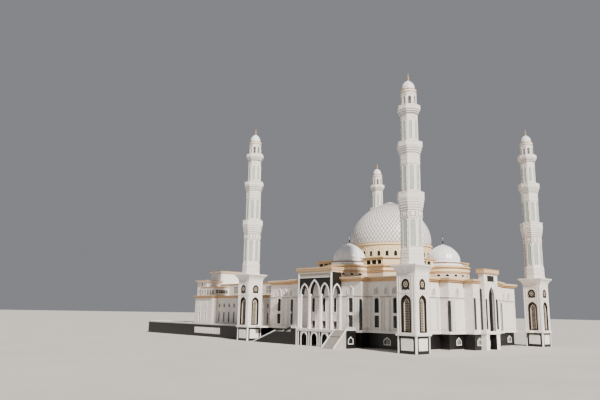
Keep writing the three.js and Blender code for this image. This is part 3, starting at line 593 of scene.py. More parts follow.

# %% [markdown]
# ## Niches and courses
# Above the windows, and between them on the blank walls, the slabs carry ogee niches: a raised white outline
# round a sunk panel painted grey as shade, with a smaller outline inside. Strong upright ribs run down the
# piers between the windows, with grey strips beside them painted as their shadows. String courses and a
# plinth line tie the sides together, with a grey band of painted shadow under the belt course and two thin
# grey lines near the foot. The two sides without windows repeat all this and have thin flutes where windows
# would be. The courses are whole rings: the belt also passes the tips of the upper windows, and the plinth
# line and the grey lines cross the three doorways, where a mason would end them.

# %% Niches, ribs and courses
NICHES = [(1100, -BAY_REACH, 220, 1518, 1810), (1830, -HALL_HALF, 214, 1521, 1780),
          (2190, -HALL_HALF, 156, 1521, 1768), (2505, -HALL_HALF, 214, 1521, 1780)]
RIBS = [(x, -BAY_REACH) for x in (1222, 1290, 1358, 1420)]
RIBS += [(x, -HALL_HALF) for x in (1580, 1632, 1684, 1998, 2050, 2102, 2278, 2330)]
WALL_SIDES = [quarter(side) @ hand for side in range(3) for hand in BOTH_HANDS]
shape = bmesh.new()
panels = bmesh.new()
for x, y, width, low, high in NICHES:
    niche = bmesh.new()
    inner = width - 28
    rise = high - low
    frame_of(niche, ogee_points, (inner, low + 14, low + rise * 0.5, high - 18), 14, -20, 4)
    frame_of(niche, ogee_points, (inner * 0.42, low + 40, low + rise * 0.46, high - 72), 9, -14, 4)
    stamp(shape, niche, [side @ at(x, y) for side in WALL_SIDES])
    # The sunk panel is painted grey as the shade inside the niche.
    panel = bmesh.new()
    plate(panel, ogee_points(inner + 4, low + 12, low + rise * 0.5, high - 16), -2, 3)
    stamp(panels, panel, [side @ at(x, y) for side in WALL_SIDES])
rib = bmesh.new()
block(rib, (-8, 8), (-16, 4), (516, 1436), 2)
stamp(shape, rib, [side @ at(x, y) for side in WALL_SIDES for x, y in RIBS])
# The grey strip beside each rib is its painted shadow.
joint = bmesh.new()
block(joint, (10, 22), (-2, 3), (516, 1436))
stamp(panels, joint, [side @ at(x, y) for side in WALL_SIDES for x, y in RIBS])
flutes = bmesh.new()
for x in (-126, -100, 100, 126):
    block(flutes, (x - 5, x + 5), (-5, 4), (560, 1436), 1.5)
blank_sides = [quarter(side) @ hand for side in (1, 2) for hand in BOTH_HANDS]
stamp(shape, flutes, [side @ at(x, y) for side in blank_sides for x, y in WINDOW_FACES])
for out, z in [(12, 1494), (9, 1432), (10, LEDGE)]:
    moulding(shape, hall_plan, [(-4, z), (out - 3, z), (out, z + 5), (out - 3, z + 11), (-4, z + 11)])
finish_piece("hall_wall_mouldings", shape, carved_marble)
# The first grey band, under the belt course, is painted shadow.
for low, high in [(1446, 1490), (536, 544), (566, 574)]:
    moulding(panels, hall_plan, band_section(-4, 2, low, high))
finish_piece("hall_niche_panels", panels, grey_and_shade_marble)

# %% [markdown]
# ## Corner windows
# A tall narrow window of dark glass closes each corner of the bays, and wraps round it by a hand's
# breadth. On the two sides that have no other windows it is wider. Thin rails divide its height.

# %% Corner windows
glass = bmesh.new()
rails = bmesh.new()
for side, inner in [(0, 1446), (1, 1385), (2, 1385)]:
    places = [quarter(side) @ hand @ at(0, -BAY_REACH) for hand in BOTH_HANDS]
    pane = bmesh.new()
    block(pane, (inner, 1512), (-2, 40), (508, 1392), 1)
    stamp(glass, pane, places)
    rail = bmesh.new()
    for z in (508, 740, 970, 1180, 1386):
        block(rail, (inner - 3, 1515), (-5, 20), (z, z + 9), 1)
    stamp(rails, rail, places)
finish_piece("corner_window_panes", glass, dark_glass)
finish_piece("corner_window_rails", rails, bronze_frame)

# %% [markdown]
# ## Podium windows
# The dark granite storey has small windows under white ogee hoods. Each gets a hood, a pane and a fine
# white lattice. Blind ones sit on the right stair's platform and under the gateways.

# %% Podium windows
PODIUM = [(0, 2160, 2920), (1, 990, 3230), (1, 2585, 2920), (2, 990, 3230), (2, 2585, 2920)]
PORTAL_REACH = 3600
podium_places = [quarter(side) @ hand @ at(x, -reach) for side, x, reach in PODIUM for hand in BOTH_HANDS]
podium_places += [quarter(side) @ at(x, -PORTAL_REACH) for side in (1, 2) for x in (-480, 480)]
hood = bmesh.new()
frame_of(hood, ogee_points, (214, 145, 238, 328), 18, -14, 6)
bars(hood, (-90, 90), (132, 338), 5, 6, 3, 8, 12)
shape = bmesh.new()
stamp(shape, hood, podium_places)
blind_windows = [quarter(1) @ at(-3548, -1342), quarter(1) @ at(0, -3601), quarter(2) @ at(0, -3601)]
hood = bmesh.new()
frame_of(hood, ogee_points, (180, 140, 228, 318), 18, -10, 4)
stamp(shape, hood, blind_windows)
finish_piece("podium_window_hoods", shape, carved_marble)
pane = bmesh.new()
block(pane, (-90, 90), (13, 17), (130, 340), 1)
shape = bmesh.new()
stamp(shape, pane, podium_places)
pane = bmesh.new()
block(pane, (-70, 70), (-4, 2), (150, 280), 1)
stamp(shape, pane, blind_windows)
finish_piece("podium_window_panes", shape, dark_glass)

# %% [markdown]
# ## Doors
# Each leaf is a frame of dark hardwood with three raised panels and a bronze pull. The solid leaf is plain,
# so panels and pull are set on both of its faces and ride on the leaf's own body.

# %% Door leaves
DOORS = {"left": -470, "middle": 0, "right": 470}
for place, x in DOORS.items():
    for side, hand in [("left", -1), ("right", 1)]:
        outer = x + hand * 77
        inner = x + hand * 6
        edge = sorted((outer - hand * 8, inner + hand * 8))
        leaf = bmesh.new()
        for front, back in [(-3244.5, -3241.5), (-3230.5, -3227.5)]:
            for low, high in [(520, 580), (590, 655), (665, 729)]:
                block(leaf, edge, (front, back), (low, high), 1.2)
        finish_piece(f"{place}_door_{side}_panels", leaf, stained_wood,
                     body=f"{place}_door_{side}")
        pull = bmesh.new()
        grip = sorted((inner + hand * 1.5, inner + hand * 5.5))
        for front, back in [(-3250, -3247.5), (-3225, -3222.5)]:
            block(pull, grip, (front, back), (606, 642), 0.8)
            for z in (608, 636):
                block(pull, (grip[0] + 1, grip[1] - 1), (-3248, -3241) if front < -3240 else (-3231, -3224),
                      (z, z + 4))
        finish_piece(f"{place}_door_{side}_pulls", pull, bronze_frame,
                     body=f"{place}_door_{side}")

# %% [markdown]
# ## Door surrounds
# Behind the portico each door has a white surround and, high above it, a narrow arched window whose bronze
# lattice bulges like a string of beads. Small round bosses between short bars give that outline.

# %% Door surrounds and the windows above the doors
DOOR_FACES = [at(x, -BAY_REACH) for x in DOORS.values()]
surround = bmesh.new()
for x in (-97, 97):
    block(surround, (x - 11, x + 11), (-12, 4), (LEDGE, 756), 2)
block(surround, (-108, 108), (-14, 4), (746, 770), 3)
hood_of(surround, ogee_points, (190, 785, 880, 1000), 12, -10, 4)
block(surround, (-80, 80), (-16, 4), (984, 1010), 3)
hood_of(surround, arch_points, (122, 1010, 1404, 1476), 16, -8, 4)
stamped_piece("door_surrounds", surround, DOOR_FACES, carved_marble)
pane = bmesh.new()
block(pane, (-64, 64), (9, 13), (1008, 1480), 1)
stamped_piece("door_upper_panes", pane, DOOR_FACES, dark_glass)
lattice = bmesh.new()
bars(lattice, (-62, 62), (1008, 1480), 4, 9, 5, 2, 8)
for z in (1090, 1190, 1290, 1390):
    boss = bmesh.new()
    turned(boss, [(0, 0), (36, 0), (36, 5), (24, 8), (14, 5), (0, 8)], 16, closed=False)
    stamp(lattice, boss, [at(0, 6, z) @ STANDING])
stamped_piece("door_upper_lattice", lattice, DOOR_FACES, bronze_frame)

# %% [markdown]
# ## Roof tiers
# Above the hall the beige attic has a row of small dark windows, then gold and cream bands. The cream
# gallery tier follows, with an open gap between posts beside each small dome, where a dark board behind the
# rails is painted shade. The mouldings follow the plan, the windows' panes and hoods are stamped round the
# curved bays.

# %% Attic mouldings
shape = bmesh.new()
for z in (2262, 2300, 2404):
    moulding(shape, attic_plan, bead_section(-4, 14, 20, z, z + 16))
moulding(shape, attic_plan, bead_section(40, 54, 60, 2428, 2452))
finish_piece("attic_gold_mouldings", shape, gold_paint)
shape = bmesh.new()
moulding(shape, attic_plan, band_section(-4, 10, 2316, 2404))
finish_piece("attic_cream_band", shape, carved_limestone)

# %% Attic windows
bay_places = [quarter(side) @ at(0, -DOME_PLACE) @ Matrix.Rotation(radians(19.5 * (step - 3.5)), 4, "Z")
              @ at(0, -ROUND_BAY) for side in range(4) for step in range(8)]
hood = bmesh.new()
frame_of(hood, arch_points, (112, 2155, 2165, 2233), 9, -5, 8)
stamped_piece("attic_window_frames", hood, bay_places, carved_marble)
pane = bmesh.new()
block(pane, (-60, 60), (8, 13), (2149, 2238), 1)
stamped_piece("attic_window_panes", pane, bay_places, dark_glass)

# %% Gallery tier
shape = bmesh.new()
for z in (2482, 2652):
    moulding(shape, tier_plan, bead_section(-3, 10, 14, z, z + 14))
moulding(shape, tier_plan, bead_section(31, 43, 46, 2690, 2710))
finish_piece("gallery_gold_mouldings", shape, gold_paint)
posts = bmesh.new()
for x in (745, 945, 1175, 1375):
    block(posts, (x - 11, x + 11), (-14, 4), (2496, 2652), 3)
    block(posts, (x - 17, x + 17), (-20, 4), (2630, 2652), 3)
rails = bmesh.new()
for x in (795, 865, 1025, 1095, 1255, 1325):
    block(rails, (x - 6, x + 6), (14, 24), (2498, 2632))
for z in (2500, 2548, 2596):
    block(rails, (740, 1380), (8, 30), (z, z + 11), 2)
gallery_sides = [quarter(side) @ hand @ at(0, -TIER_SIDE) for side in range(4) for hand in BOTH_HANDS]
stamped_piece("gallery_posts", posts, gallery_sides, carved_limestone)
stamped_piece("gallery_rails", rails, gallery_sides, bronze_frame)
# The dark board behind the rails is painted shade in the gallery's open gap.
board = bmesh.new()
block(board, (742, 1378), (63, 69), (2490, 2640), 1)
stamped_piece("gallery_shade_boards", board, gallery_sides, umber_and_shade_board)

# %% [markdown]
# ## Drum
# Thirty-two small windows light the drum, each under its own tall blind arch, so the wall looks like an
# arcade. A frame is drawn once in front of the first window and stamped round the circle.

# %% Drum
DRUM_WINDOWS = 32
DRUM_RADIUS = 1400
drum_places = [Matrix.Rotation(2 * pi * i / DRUM_WINDOWS, 4, "Z") @ at(0, -DRUM_RADIUS)
               for i in range(DRUM_WINDOWS)]
arcade = bmesh.new()
hood_of(arcade, ogee_points, (196, 2790, 3040, 3190), 13, -9, 6)
block(arcade, (-112, 112), (-10, 6), (2776, 2790), 2)
frame_of(arcade, arch_points, (104, 2864, 2984, 3046), 9, -9, 6)
stamped_piece("drum_blind_arcade", arcade, drum_places, carved_limestone)
pane = bmesh.new()
plate(pane, arch_points(106, 2863, 2984, 3047), -3, 5)
stamped_piece("drum_window_panes", pane, drum_places, dark_glass)
shape = bmesh.new()
turned(shape, bead_section(1396, 1412, 1418, 2740, 2760), 96)
turned(shape, [(1396, 3226), (1410, 3226), (1414, 3234), (1410, 3244), (1396, 3244)], 96)
turned(shape, [(1420, 3304), (1440, 3304), (1446, 3314), (1440, 3326), (1420, 3330)], 96)
finish_piece("drum_gold_rings", shape, gold_paint, smooth=True)
shape = bmesh.new()
turned(shape, band_section(1420, 1436, 3248, 3303), 96)
finish_piece("dome_foot_band", shape, carved_limestone, smooth=True)

# %% [markdown]
# ## Main dome
# The dome is sheathed in narrow white lozenges with grey seams between them. Its half-section is the same
# curve as the solid's. After a full spin the surface has level rows of squares; poking puts a point in the
# middle of each, and when the old edges are dissolved, the points and corners join into lozenges. Insetting
# every lozenge by itself and lifting it leaves the seams sunk; they get the second finish.

# %% Dome lozenges
def dome_section(radius, low, high, steps):
    section = []
    for t in [i / steps for i in range(steps + 1)]:
        away = 1 - t
        r = radius * (0.97 * away ** 3 + 3 * 1.06 * away ** 2 * t + 3 * 0.62 * away * t ** 2)
        z = low + (high - low) * (3 * 0.42 * away ** 2 * t + 3 * 0.86 * away * t ** 2 + t ** 3)
        section.append((r, z))
    return section


def lozenge_skin(radius, low, high, rows, columns, seam, lift, thick):
    """Stops short of the tip, where the lozenges would grow too narrow"""
    skin = bmesh.new()
    section = dome_section(radius, low, high, rows + 1)[:-1]
    verts = [skin.verts.new((r, 0, z)) for r, z in section]
    edges = [skin.edges.new(pair) for pair in zip(verts, verts[1:])]
    bmesh.ops.spin(skin, geom=verts + edges, cent=(0, 0, 0), axis=(0, 0, 1), angle=2 * pi, steps=columns,
                   use_merge=True)
    old = list(skin.edges)
    rim = [edge for edge in old if len(edge.link_faces) == 1]
    bmesh.ops.poke(skin, faces=skin.faces)
    bmesh.ops.dissolve_edges(skin, edges=[edge for edge in old if edge.is_valid and edge not in rim],
                             use_verts=False)
    bmesh.ops.recalc_face_normals(skin, faces=skin.faces)
    made = bmesh.ops.inset_individual(skin, faces=skin.faces, thickness=seam, depth=lift,
                                      use_even_offset=True)
    for face in made["faces"]:
        face.material_index = 1
    bmesh.ops.recalc_face_normals(skin, faces=skin.faces)
    bmesh.ops.solidify(skin, geom=skin.faces, thickness=thick)
    return skin


shape = lozenge_skin(radius=1427, low=3325, high=4914, rows=10, columns=68, seam=12, lift=8, thick=12)
finish_piece("main_dome_lozenges", shape, enamelled_steel, second=seam_and_shadow_grey)
shape = bmesh.new()
turned(shape, [(0, 4930), (60, 4914), (150, 4882), (236, 4850), (236, 4840), (0, 4840)], 32, closed=False)
finish_piece("main_dome_crown", shape, enamelled_steel, smooth=True)

# %% [markdown]
# ## Small domes
# Each small dome rests on a white neck between a dark red ring and a thin gold line, and carries a slender
# dark finial. Shallow ribs run from the foot to the tip. They are strips along the dome's section, turned
# round the middle.

# %% Small dome trim
def rib_strip(section, half, proud):
    """A strip of the given half width that lies on a dome's section and stands proud of it"""
    strip = bmesh.new()
    verts = [strip.verts.new((0, -r - proud, z)) for r, z in section]
    edges = [strip.edges.new(pair) for pair in zip(verts, verts[1:])]
    made = bmesh.ops.extrude_edge_only(strip, edges=edges)
    moved = [part for part in made["geom"] if isinstance(part, bmesh.types.BMVert)]
    bmesh.ops.translate(strip, vec=(half, 0, 0), verts=moved)
    bmesh.ops.translate(strip, vec=(-half, 0, 0), verts=verts)
    extrude_back(strip, strip.faces, proud + 8)
    return strip


SMALL_DOMES = [quarter(side) @ at(0, -DOME_PLACE) for side in range(4)]
RIB_COUNT = 20
around = [place @ Matrix.Rotation(2 * pi * i / RIB_COUNT, 4, "Z") for place in SMALL_DOMES
          for i in range(RIB_COUNT)]
rib = rib_strip(dome_section(530, 2650, 3235, 9)[:-1], 7, 5)
stamped_piece("small_dome_ribs", rib, around, enamelled_steel)
shape = bmesh.new()
for section in [[(585, 2502), (636, 2502), (640, 2512), (620, 2526), (585, 2530)],
                [(520, 2620), (552, 2620), (556, 2630), (540, 2650), (512, 2650)]]:
    stamp(shape, turned_ring(section, 48), SMALL_DOMES)
finish_piece("small_dome_collars", shape, carved_marble, smooth=True)
ring = turned_ring([(575, 2586), (608, 2586), (613, 2598), (608, 2616), (575, 2620)], 48)
stamped_piece("small_dome_russet_rings", ring, SMALL_DOMES, russet_paint, smooth=True)
ring = turned_ring([(590, 2480), (640, 2480), (645, 2490), (640, 2501), (590, 2501)], 48)
stamped_piece("small_dome_gold_rings", ring, SMALL_DOMES, gold_paint, smooth=True)
finial = bmesh.new()
turned(finial, [(0, 3228), (20, 3232), (11, 3262), (11, 3290), (27, 3318), (28, 3328), (10, 3352),
                (6, 3372), (12, 3392), (5, 3412), (4, 3520), (0, 3600)], 12, closed=False)
stamped_piece("small_dome_finials", finial, SMALL_DOMES, bronze_frame, smooth=True)

# %% [markdown]
# ## Portico
# The entrance portico has pointed arches on clustered columns. Black granite fills the wall above the
# springs and lines the arches, so they look deep, and a broad white band follows each arch. The granite
# is one plate per bay whose outline runs down the column's middle, round the arch and up the next column;
# it is thicker than the solid wall, so it also covers the wall's inner face.

# %% Portico columns
PORTICO_FRONT = -3700
COLUMNS = [-640, -245, 245, 640]
BAYS = [(-442.5, 347, 1850), (0, 442, 1955), (442.5, 347, 1850)]
SPRING = 1540
FOOT = SPRING - 30
FLANKS = [quarter(1), FLIP @ quarter(1)]
FLANK_MIDDLE = -3482
pillar = bmesh.new()
for x in (-21, 21):
    for y in (4, 46):
        shaft = bmesh.new()
        turned(shaft, [(0, 540), (14, 540), (14, 552), (11, 562),
                       (10, 1450), (14, 1464), (14, 1474), (0, 1474)], 8, closed=False)
        stamp(pillar, shaft, [at(x, y)])
block(pillar, (-38, 38), (-14, 64), (LEDGE, 542), 4)
block(pillar, (-37, 37), (-13, 63), (1472, 1492), 3)
block(pillar, (-44, 44), (-20, 70), (1492, 1512), 4)
block(pillar, (-52, 52), (-26, 76), (1512, 1542), 5)
pillar_places = [at(x, PORTICO_FRONT) for x in COLUMNS] + [at(x, -3320) for x in (-695, 695)]
stamped_piece("portico_columns", pillar, pillar_places, carved_marble, smooth=True)
shape = bmesh.new()
for hand in (-1, 1):
    block(shape, sorted((hand * 688, hand * 730)), (-3726, -3684), (LEDGE, 2190), 3)
    block(shape, sorted((hand * 700, hand * 728)), (-3312, -3292), (LEDGE, 2190), 3)
for z in (2034, 2172):
    block(shape, (-728, 728), (-3716, -3698), (z, z + 14), 3)
finish_piece("portico_corner_posts", shape, carved_marble)


# %% Portico spandrels and arch bands
def spandrel(shape, left, right, width, high, top, front, back):
    arch = [(x + (left + right) / 2, z) for x, z in arch_points(width, SPRING, SPRING, high)[1:-1]]
    plate(shape, [(right, FOOT), (right, top), (left, top), (left, FOOT),
                  ((left + right - width) / 2, FOOT), *reversed(arch),
                  ((left + right + width) / 2, FOOT)], front, back)


shape = bmesh.new()
for (_, width, high), left, right in zip(BAYS, COLUMNS, COLUMNS[1:]):
    spandrel(shape, left, right, width - 24, high - 12, 2030, -3709, -3570)
for hand in (-1, 1):
    block(shape, sorted((hand * 640, hand * 722)), (-3709, -3641), (FOOT, 2030))
flank = bmesh.new()
spandrel(flank, -3690, -3292, 314, 1817, 2190, -729, -600)
stamp(shape, flank, FLANKS)
finish_piece("portico_granite_spandrels", shape, polished_granite)
shape = bmesh.new()
for (middle, width, high), front in zip(BAYS, (-3722, -3724, -3722)):
    hood = bmesh.new()
    hood_of(hood, arch_points, (width - 26, FOOT, SPRING, high - 13), 34, front, PORTICO_FRONT)
    stamp(shape, hood, [at(middle)])
flank = bmesh.new()
hood_of(flank, arch_points, (312, FOOT, SPRING, 1816), 32, -740, -720)
stamp(shape, flank, [side @ at(FLANK_MIDDLE) for side in FLANKS])
finish_piece("portico_arch_bands", shape, carved_marble)

# %% [markdown]
# ## Portico floor and the arcade under it
# Under the portico's floor a low arcade opens into the podium: black openings in white arch frames, with
# granite between the frames and a pale edge of the floor slab above them.

# %% Portico cornice, floor edge and lower arcade
portico_plan = box_plan((-720, 720), (PORTICO_FRONT, -3300))
shape = bmesh.new()
for out, z, size in [(0, 2204, 14), (35, 2260, 16), (60, 2322, 18)]:
    moulding(shape, portico_plan, bead_section(out - 3, out + size * 0.6, out + size, z - size, z))
finish_piece("portico_cornice_beads", shape, gold_paint)
shape = bmesh.new()
for back, front, low, high in [(30, 38, 2193, 2244), (55, 63, 2263, 2304), (-30, 64, 2322, 2346)]:
    moulding(shape, portico_plan, band_section(back, front, low, high))
finish_piece("portico_cornice_bands", shape, ochre_stucco)
# The grey fascia band under the cornice is painted shade cast by the cornice.
shape = bmesh.new()
moulding(shape, portico_plan, band_section(-3, 4, 2056, 2166))
finish_piece("portico_fascia_panel", shape, grey_and_shade_marble)
LOWER_ARCHES = (-445, 0, 445)
LOWER_WIDTH = 250
LOWER_FLANK_MIDDLE = -3495
shape = bmesh.new()
moulding(shape, portico_plan, [(-3, 432), (14, 432), (14, 470), (22, 478), (22, 508), (-3, 508)])
for middle in LOWER_ARCHES:
    hood = bmesh.new()
    hood_of(hood, arch_points, (LOWER_WIDTH - 4, 2, 238, 388), 30, -3714, -3680)
    stamp(shape, hood, [at(middle)])
for x in (-700, -222, 222, 700):
    block(shape, (x - 12, x + 12), (-3718, -3690), (2, 432), 3)
flank = bmesh.new()
hood_of(flank, arch_points, (216, 2, 256, 388), 26, -732, -700)
stamp(shape, flank, [side @ at(LOWER_FLANK_MIDDLE) for side in FLANKS])
finish_piece("portico_lower_frames", shape, carved_marble)
shape = bmesh.new()
for x in (-648, -267, -178, 178, 267, 648):
    block(shape, (x - 36, x + 36), (-3706, -3694), (4, 430), 1)
for middle in LOWER_ARCHES:
    lining = bmesh.new()
    hood_of(lining, arch_points, (LOWER_WIDTH - 24, 2, 226, 379), 11, -3698, -3634)
    stamp(shape, lining, [at(middle)])
flank = bmesh.new()
hood_of(flank, arch_points, (196, 2, 250, 379), 11, -718, -654)
stamp(shape, flank, [side @ at(LOWER_FLANK_MIDDLE) for side in FLANKS])
finish_piece("portico_lower_granite", shape, polished_granite)

# %% [markdown]
# ## Minaret foot
# Each minaret stands on a granite storey with a white panel between white corner posts. Its square block
# has on every face a tall arched lattice in a bronze frame and a medallion in a dark ring above it. One
# face is drawn, turned to the four sides and stamped at the four corners.

# %% Minaret foot
MINARET_PLACE = 3493
MINARET_HALF = 300
CORNERS = [at(x * MINARET_PLACE, y * MINARET_PLACE) for x, y in [(-1, -1), (1, -1), (1, 1), (-1, 1)]]
MINARET_FACES = [corner @ quarter(side) @ at(0, -MINARET_HALF) for corner in CORNERS for side in range(4)]
face = bmesh.new()
for x in (-270, 270):
    block(face, (x - 15, x + 15), (-2, 20), (2, 448), 3)
block(face, (-188, 188), (4, 20), (84, 386), 5)
stamped_piece("minaret_podium_panels", face, MINARET_FACES, carved_marble)

face = bmesh.new()
for x in (-268, -196, 196, 268):
    block(face, (x - 9, x + 9), (-9, 3), (540, 1980), 2)
for z in (1530, 1975):
    block(face, (-277, 277), (-9, 3), (z, z + 18), 2)
block(face, (-MINARET_HALF, MINARET_HALF), (-10, 3), (LEDGE, 530), 3)
hood_of(face, ogee_points, (164, 562, 1230, 1400), 8, 26, 32)
stamped_piece("minaret_face_borders", face, MINARET_FACES, carved_marble)

# The medallion's place: stood up, and stretched into an upright oval.
UPRIGHT = at(0, 2, 1750) @ Matrix.Diagonal((1.05, 1, 1.18, 1)) @ STANDING
# The frame is drawn 47 mm wide: part of it is the bronze frame, the rest is painted shade of the deep reveal
# beside the lattice.
frame_face = bmesh.new()
frame_of(frame_face, arch_points, (212, 560, 1306, 1424), 47, -8, 30)
stamp(frame_face, turned_ring([(86, -2), (118, -2), (123, 8), (117, 16), (88, 14)], 28), [UPRIGHT])
for x in (-98, 98):
    block(frame_face, (x - 22, x + 22), (-5, 4), (1610, 1668), 2)
stamped_piece("minaret_screen_frames", frame_face, MINARET_FACES, bronze_frame)

screen = bmesh.new()
bars(screen, (-74, 74), (545, 1400), 1, 21, 9, 34, 44)
for x in (-74, 74):
    block(screen, (x - 5, x + 5), (32, 46), (545, 1330))
disc = bmesh.new()
turned(disc, [(0, 0), (15, 0), (15, 9), (0, 11)], 16, closed=False)
stamp(screen, disc, [UPRIGHT])
stamp(screen, turned_ring([(46, 0), (56, 0), (56, 9), (46, 9)], 24), [UPRIGHT])
stamped_piece("minaret_screens", screen, MINARET_FACES, cast_screen)
# The dark board behind each screen is painted shade in the lattice's gaps; the disc on it gives the
# medallion's dark ground.
back = bmesh.new()
block(back, (-136, 136), (48, 57), (533, 1440), 2)
disc = bmesh.new()
turned(disc, [(0, 0), (90, 0), (90, 5), (0, 6)], 24, closed=False)
stamp(back, disc, [UPRIGHT])
stamped_piece("minaret_screen_shade_boards", back, MINARET_FACES, umber_and_shade_board)

# %% [markdown]
# ## Minaret shaft
# The eight-sided shaft has on every face a tall recess of green glass between slim white colonnettes,
# carved medallions, stepped corbels under the balconies and railings above them. All eight faces are
# alike, so each element is stamped by eighth turns.

# %% Minaret shaft
def eighth(step, reach):
    return Matrix.Rotation(radians(45 * step), 4, "Z") @ at(0, -reach)


def on_shafts(shape, source, reach):
    stamp(shape, source, [corner @ eighth(step, reach) for corner in CORNERS for step in range(8)])


white = bmesh.new()
glass = bmesh.new()
grey = bmesh.new()
STAGES = [(273, 2720, 3490, 66), (245, 4250, 4960, 58), (220, 5680, 6230, 44)]
for reach, low, high, half in STAGES:
    niche = bmesh.new()
    for x in (-half - 6, half + 6):
        block(niche, (x - 8, x + 8), (-9, 4), (low + 20, high - 70), 2.5)
        block(niche, (x - 11, x + 11), (-12, 4), (low, low + 24), 3)
        block(niche, (x - 11, x + 11), (-12, 4), (high - 78, high - 60), 3)
    hood_of(niche, arch_points, (half * 2 - 10, high - 66, high - 62, high - 10), 14, -9, 4)
    on_shafts(white, niche, reach)
    pane = bmesh.new()
    plate(pane, arch_points(half * 1.1, low + 30, high - 70, high - 26), -4, 3)
    on_shafts(glass, pane, reach)
    strip = bmesh.new()
    plate(strip, arch_points(half * 2 + 2, low + 20, high - 64, high - 14), -2, 3)
    on_shafts(grey, strip, reach)
medallion = bmesh.new()
turned(medallion, [(0, 0), (58, 0), (58, 8), (44, 12), (38, 6), (24, 6), (18, 12), (0, 12)], 16,
       closed=False)
upright = bmesh.new()
stamp(upright, medallion, [at(0, 2, 3600) @ STANDING])
for x in (-96, 96):
    block(upright, (x - 6, x + 6), (-7, 3), (3524, 3676), 2)
on_shafts(white, upright, 282)
disc = bmesh.new()
block(disc, (-88, 88), (-2, 3), (3530, 3670), 1)
on_shafts(grey, disc, 282)
for reach, half, heights in [(292, 118, [(2350, 2380), (2450, 2480), (2560, 2590)]),
                             (254, 103, [(5010, 5030), (5120, 5140), (5215, 5240)]),
                             (220, 88, [(6270, 6290), (6340, 6360)])]:
    fillets = bmesh.new()
    for low, high in heights:
        block(fillets, (-half, half), (-7, 3), (low, high), 3)
    on_shafts(white, fillets, reach)
finish_piece("minaret_shaft_carving", white, carved_marble)
finish_piece("minaret_shaft_glass", glass, green_glass)
finish_piece("minaret_shaft_panels", grey, grey_and_shade_marble)

# %% Minaret corbels and rails
def octagon_plan(out):
    side = 1 + out
    corner = side * tan(pi / 8)
    return four_sides([(-corner, -side), (corner, -side)])


rings = bmesh.new()
for reach, z, size in [(288, 3712, 16), (300, 3776, 18), (312, 3850, 18), (322, 3920, 18), (332, 3990, 18),
                       (272, 5300, 16), (288, 5360, 18), (306, 5420, 18), (250, 6430, 14), (266, 6480, 14),
                       (284, 6530, 14), (290, 2300, 26), (275, 2660, 24), (276, 3502, 12), (250, 4974, 12)]:
    moulding(rings, octagon_plan, bead_section(reach - 16, reach + 4, reach + 9, z, z + size))
stamped_piece("minaret_corbel_rings", rings, CORNERS, carved_marble)
# A thin grey line under each corbel ring is its painted shadow.
corbel_shadow_lines = bmesh.new()
for reach, z in [(288, 3700), (300, 3764), (312, 3838), (322, 3908), (332, 3978), (272, 5288), (288, 5348),
                 (306, 5408), (250, 6420), (266, 6470), (284, 6520), (276, 3492)]:
    moulding(corbel_shadow_lines, octagon_plan, band_section(reach - 16, reach, z, z + 11))
stamped_piece("minaret_corbel_shadow_lines", corbel_shadow_lines, CORNERS, seam_and_shadow_grey)
rails = bmesh.new()
for reach, low, high in [(338, 4030, 4200), (322, 5480, 5610), (292, 6550, 6660)]:
    wide = (reach + 4) * tan(pi / 8)
    rail = bmesh.new()
    block(rail, (-wide, wide), (-8, 4), (high - 20, high + 4), 3)
    block(rail, (-wide, wide), (-8, 4), (low, low + 16), 3)
    for i in range(-3, 4):
        x = i * wide * 0.27
        block(rail, (x - 5, x + 5), (-6, 3), (low + 16, high - 20), 1.5)
    on_shafts(rails, rail, reach)
finish_piece("minaret_balcony_rails", rails, carved_marble)

# %% Minaret lantern, cupola and finial
lantern = bmesh.new()
arch = bmesh.new()
frame_of(arch, arch_points, (92, 6674, 6886, 6942), 12, -8, 5)
stamp(lantern, arch, [eighth(step, 200) for step in range(8)])
shape = bmesh.new()
stamp(shape, lantern, CORNERS)
collar = turned_ring([(202, 6990), (224, 6990), (230, 7004), (222, 7016), (202, 7016)], 8)
turned_collar = bmesh.new()
stamp(turned_collar, collar, [Matrix.Rotation(pi / 8, 4, "Z")])
stamp(shape, turned_collar, CORNERS)
finish_piece("minaret_lantern_arches", shape, carved_marble)
cupola = bmesh.new()
stamp(cupola, rib_strip(dome_section(172, 7182, 7450, 7)[:-1], 5, 4),
      [Matrix.Rotation(radians(30 * i), 4, "Z") for i in range(12)])
stamped_piece("minaret_cupola_ribs", cupola, CORNERS, enamelled_steel)
gold = bmesh.new()
turned(gold, [(204, 7056), (222, 7056), (226, 7064), (226, 7076), (204, 7076)], 24)
turned(gold, bead_section(204, 222, 227, 7130, 7154), 24)
turned(gold, [(0, 7446), (26, 7450), (13, 7466), (13, 7492), (31, 7516), (31, 7526), (12, 7548), (9, 7562),
              (18, 7580), (8, 7598), (5, 7640), (0, 7700)], 12, closed=False)
stamped_piece("minaret_finials", gold, CORNERS, gold_paint, smooth=True)

# %% [markdown]
# ## Gateways
# The right side has a tall gateway with one pointed arch before a shallow porch, and the hidden back
# repeats it. A white plate with an ogee outline frames the arch, bronze bars and dark glass stand in it, and
# a granite panel with a lattice sits above. Gold cornices end the gateway and the low portal behind it.

